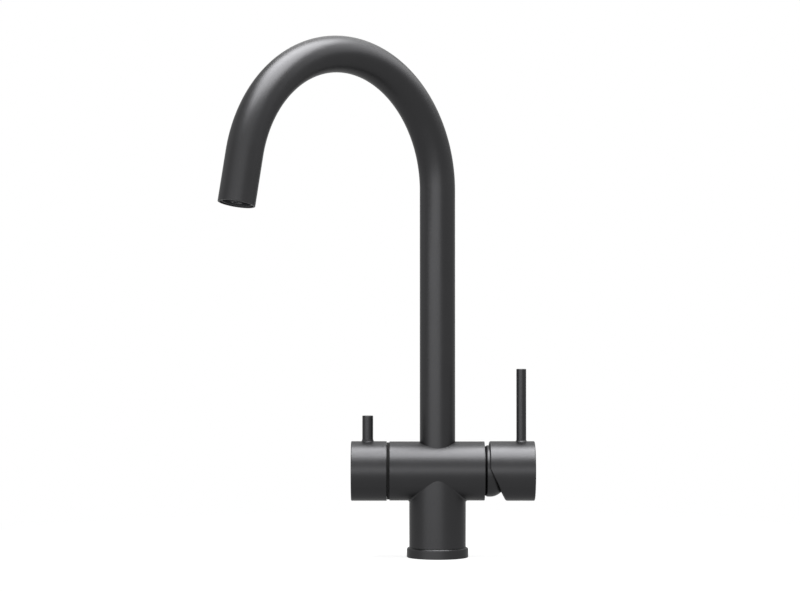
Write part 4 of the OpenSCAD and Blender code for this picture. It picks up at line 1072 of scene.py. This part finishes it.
class TAP_OT_levers(bpy.types.Operator):
    """Turn the two levers with their flared feet"""

    bl_idname = "tap.levers"
    bl_label = "Levers"

    def execute(self, context):
        h = context.scene.tap_handle
        # How deep the flare's foot stands in the knob, and the rod's foot under it
        sunk, edge, deep = mm(0.2, 0.3, 3)
        for kind, x, radius, rise, top in zip(
                ("mixer", "filter"), lever_places(), (h.mixer_r, h.filter_r),
                (h.mixer_flare_h, h.filter_flare_h), (h.mixer_top, h.filter_top)):
            foot_r = radius + h.flare
            seat = barrel_h() + math.sqrt(h.knob_r ** 2 - foot_r ** 2) - sunk
            # The flare's corner is at 46 percent of its height and 38 percent of its width
            skin = solid([
                (seat - deep, foot_r, 0), (seat - edge, foot_r, 0),
                (seat + rise * 0.46, radius + h.flare * 0.38, 1.5 * MM),
                (seat + rise, radius, 0), (top, radius, 0.45 * MM)], along_z(x), 96)
            show("tap_%s_lever" % kind, skin, "coat", kind + "_grip", kind + "_lever")
        return {"FINISHED"}


class TAP_OT_small(bpy.types.Operator):
    """Make the caps over the grub screws and the lock screw at the back"""

    bl_idname = "tap.small"
    bl_label = "Caps and lock screw"

    def execute(self, context):
        knob_r = context.scene.tap_handle.knob_r
        sunk, thick, edge = mm(0.2, 2.6, 0.3)
        for part, body, x, radius in zip(("handle", "knob"), ("mixer_grip", "filter_grip"),
                                         lever_places(), mm(3.2, 2.7)):
            low = math.sqrt(knob_r ** 2 - radius ** 2) - sunk
            cap = rod(radius, low - thick, low, downwards(x), 64, edge)
            show("tap_%s_cap" % part, cap, "coat", body, part + "_plug")
        place = to_back(context.scene.tap_body.screw_h)
        screw = solid(mm((9.4, 1.8, 0), (12.4, 1.8, 0), (12.9, 2.5, 0), (21.35, 2.5, 0.35)),
                      place, 64)
        key = rod(*mm(1.44, 18.9, 26), place, 6)
        # The six sides of the key's socket are flat
        for i, face in enumerate(key.faces):
            a, b, c = (Vector(key.points[j]) for j in face[:3])
            key.normals[i] = [(b - a).cross(c - a).normalized()] * len(face)
        mesh = machined("tap_lock_screw", screw, [key])
        show("tap_lock_screw", mesh, "steel", "tap_body", "spout_lock_screw")
        return {"FINISHED"}


class TAP_OT_inlets(bpy.types.Operator):
    """Turn the hose block, drill its ports and cut their threads"""

    bl_idname = "tap.inlets"
    bl_label = "Hose block"

    def execute(self, context):
        b = context.scene.tap_inlets
        low, high = b.block_low, b.block_high
        block = solid([(low, b.block_r, 0.6 * MM), (high, b.block_r, 0.6 * MM)], along_z(), 128)
        # A hole starts under the block, and its countersink ends this far inside and outside it
        under, lead, wide = mm(1, 0.5, 1.5)
        ports = (b.port_x, b.port_y), (b.port_x, -b.port_y), (-b.filter_x, 0)
        drills = [
            solid([(low - under, b.port_r + wide, 0), (low + lead, b.port_r, 0),
                   (high + under, b.port_r, 0)], along_z(x, y), 64)
            for x, y in ports]
        for y in (-b.stud_y, b.stud_y):
            # The drill's point leaves a cone at the end of the hole
            spans = outline([
                (low - under, 0, 0), (low - under, b.stud_r + wide, 0), (low + lead, b.stud_r, 0),
                (b.stud_top, b.stud_r, 0), (b.stud_top + wide, 0, 0)])
            drills.append(Skin().turned(spans, along_z(-b.stud_x, y), 48))
        mesh = machined("tap_hose_block", block, drills)
        show("tap_hose_block", mesh, "brass", "tap_body", "hose_block")
        thread = grown("port_thread", self.thread, {
            "Radius": b.port_r, "Pitch": b.pitch, "Turns": b.turns, "Ridge": b.ridge}, "brass")
        for name, (x, y) in zip(("back", "front", "filtered"), ports):
            mesh = thread.copy()
            mesh.transform(along_z(x, y, low + 0.8 * MM))
            show("tap_port_thread_" + name, mesh, "brass", "tap_body")
        bpy.data.meshes.remove(thread)
        return {"FINISHED"}

    def thread(self, tree, given):
        """A ridge on a helix, as a tap cuts it inside a port."""
        rise = add_node(tree, "ShaderNodeMath", {0: given["Pitch"], 1: given["Turns"]},
                        operation="MULTIPLY")
        helix = add_node(tree, "GeometryNodeCurveSpiral",
                         {"Resolution": 36, "Rotations": given["Turns"],
                          "Start Radius": given["Radius"], "End Radius": given["Radius"],
                          "Height": rise})
        ridge = add_node(tree, "GeometryNodeCurvePrimitiveCircle",
                         {"Resolution": 4, "Radius": given["Ridge"]})
        return add_node(tree, "GeometryNodeCurveToMesh",
                        {"Curve": helix, "Profile Curve": ridge, "Fill Caps": True})


class TAP_OT_inside(bpy.types.Operator):
    """Give every CAD part that stays its finish"""

    bl_idname = "tap.inside"
    bl_label = "Parts inside"

    def execute(self, context):
        slots = {part["node"]: part["material_slot"] for part in frame["record"]["subparts"]}
        for name, node in frame["nodes"].items():
            node.data.materials.clear()
            node.data.materials.append(finish(slots[name]))
        return {"FINISHED"}


class TAP_OT_studio(bpy.types.Operator):
    """Set up the camera, the floor, the white background and the lamps"""

    bl_idname = "tap.studio"
    bl_label = "Studio"

    def execute(self, context):
        s = context.scene.tap_studio
        camera = in_scene("camera", bpy.data.cameras.new("camera"))
        camera.data.lens = s.lens
        camera.data.sensor_width = 36.0
        camera.location = s.camera
        camera.rotation_euler = (s.camera_tilt, 0, 0)
        context.scene.camera = camera
        context.scene.view_settings.view_transform = "Standard"
        self.background(context.scene, s)
        self.floor(s)
        # Each softbox: name, radiance, place, the point that it faces, width and height
        for name, level, place, aim, width, height in (
                ("overhead", s.overhead, (0.02, -0.31, 1.47), (0.02, -0.31, 0), 1.5, 1.3),
                ("front_fill", s.front, (-0.79, -2.16, 0.38), (0, 0, 0.38), 3.6, 0.7),
                ("right_softbox", s.right, (0.93, 0.6, 1.2), (0, 0, 0.2), 1.0, 0.8),
                ("side_softbox", s.side, (1.23, 0, 1.06), (0, 0, 0.2), 0.8, 0.8),
                ("left_softbox", s.left, (-1.4, 0.3, 0.6), (0, 0, 0.2), 0.8, 0.8),
                ("back_softbox", s.back, (0, 1.06, 1.26), (0, 0, 0.2), 1.0, 0.5),
                ("arch_softbox", s.arch, (-0.03, 0.02, 0.95), (-0.02, 0, 0.2), 0.6, 0.3)):
            lamp = in_scene(name, bpy.data.lights.new(name, "AREA"))
            lamp.data.shape = "RECTANGLE"
            lamp.data.size = width
            lamp.data.size_y = height
            lamp.data.energy = level * math.pi * width * height
            lamp.location = place
            lamp.rotation_euler = (Vector(aim) - Vector(place)).to_track_quat("-Z", "Y").to_euler()
            lamp.visible_camera = False
        return {"FINISHED"}

    def background(self, scene, s):
        """White for the eye and in reflections, and a plain room light on matt surfaces."""
        scene.world = bpy.data.worlds.new("studio")
        scene.world.use_nodes = True
        tree = scene.world.node_tree
        tree.nodes.clear()
        rays = add_node(tree, "ShaderNodeLightPath").outputs
        seen = add_node(tree, "ShaderNodeMath",
                        {0: rays["Is Camera Ray"], 1: rays["Is Glossy Ray"]}, operation="MAXIMUM")
        seen = add_node(tree, "ShaderNodeMath", {0: seen, 1: rays["Is Transmission Ray"]},
                        operation="MAXIMUM")
        shade = add_node(tree, "ShaderNodeMix",
                         {"Factor": seen, "A": [s.room] * 3 + [1.0], "B": linear(s.floor)},
                         data_type="RGBA")
        light = add_node(tree, "ShaderNodeBackground",
                         {"Color": shade.outputs["Result"], "Strength": 1.0})
        add_node(tree, "ShaderNodeOutputWorld", {"Surface": light})

    def floor(self, s, reach=30.0):
        """A painted floor: white, with the tap's faint shadow left on it."""
        skin = Skin()
        skin.face([((x * reach, y * reach, 0), (0, 0, 1))
                   for x, y in ((-1, -1), (1, -1), (1, 1), (-1, 1))])
        floor = in_scene("floor", skin.mesh("floor"))
        material, tree, place = new_material("matt_white_paint")
        glow = add_node(tree, "ShaderNodeEmission", {"Color": linear(s.floor), "Strength": 1.0})
        paint = add_node(tree, "ShaderNodeBsdfDiffuse", {"Color": linear(s.paint)})
        # The paint's own light, which carries the shadow, counts only near the tap
        far = add_node(tree, "ShaderNodeVectorMath", {0: place}, operation="LENGTH")
        white = add_node(tree, "ShaderNodeMapRange",
                         {"Value": far.outputs["Value"], "From Min": 0.1, "From Max": 0.5,
                          "To Min": s.shadow, "To Max": 1.0}, interpolation_type="SMOOTHSTEP")
        rays = add_node(tree, "ShaderNodeLightPath").outputs
        direct = add_node(tree, "ShaderNodeMath", {0: rays["Is Camera Ray"], 1: white},
                          operation="MULTIPLY")
        other = add_node(tree, "ShaderNodeMath",
                         {0: rays["Is Glossy Ray"], 1: rays["Is Transmission Ray"]},
                         operation="MAXIMUM")
        share = add_node(tree, "ShaderNodeMath", {0: direct, 1: other}, operation="MAXIMUM")
        both = add_node(tree, "ShaderNodeMixShader", {0: share, 1: paint, 2: glow})
        add_node(tree, "ShaderNodeOutputMaterial", {"Surface": both})
        floor.data.materials.append(material)


OPERATORS = [
    TAP_OT_studio, TAP_OT_body, TAP_OT_foot, TAP_OT_spout, TAP_OT_aerator, TAP_OT_dome,
    TAP_OT_handle, TAP_OT_knob, TAP_OT_levers, TAP_OT_small, TAP_OT_inlets, TAP_OT_inside,
]


class TAP_PT_panel(bpy.types.Panel):
    """Lists the sizes, the colours and the operators"""

    bl_label = "Mixer tap"
    bl_idname = "TAP_PT_panel"
    bl_space_type = "VIEW_3D"
    bl_region_type = "UI"
    bl_category = "Mixer tap"

    def draw(self, context):
        for operator in OPERATORS:
            self.layout.operator(operator.bl_idname)
        for key, group in GROUPS.items():
            box = self.layout.box()
            box.label(text=group.__doc__)
            for name in group.__annotations__:
                box.prop(getattr(context.scene, key), name)


def register():
    """Register the classes, and keep the sizes and colours in the scene."""
    for cls in [*GROUPS.values(), *OPERATORS, TAP_PT_panel]:
        bpy.utils.register_class(cls)
    for key, group in GROUPS.items():
        setattr(bpy.types.Scene, key, bpy.props.PointerProperty(type=group))


def unregister():
    """Take them out again, in the other order."""
    for key in GROUPS:
        delattr(bpy.types.Scene, key)
    for cls in reversed([*GROUPS.values(), *OPERATORS, TAP_PT_panel]):
        bpy.utils.unregister_class(cls)


def main():
    """Build everything."""
    register()
    bpy.ops.tap.studio()
    bpy.ops.tap.body()
    bpy.ops.tap.foot()
    bpy.ops.tap.spout()
    bpy.ops.tap.aerator()
    bpy.ops.tap.dome()
    bpy.ops.tap.handle()
    bpy.ops.tap.knob()
    bpy.ops.tap.levers()
    bpy.ops.tap.small()
    bpy.ops.tap.inlets()
    bpy.ops.tap.inside()


if __name__ == "__main__":
    main()
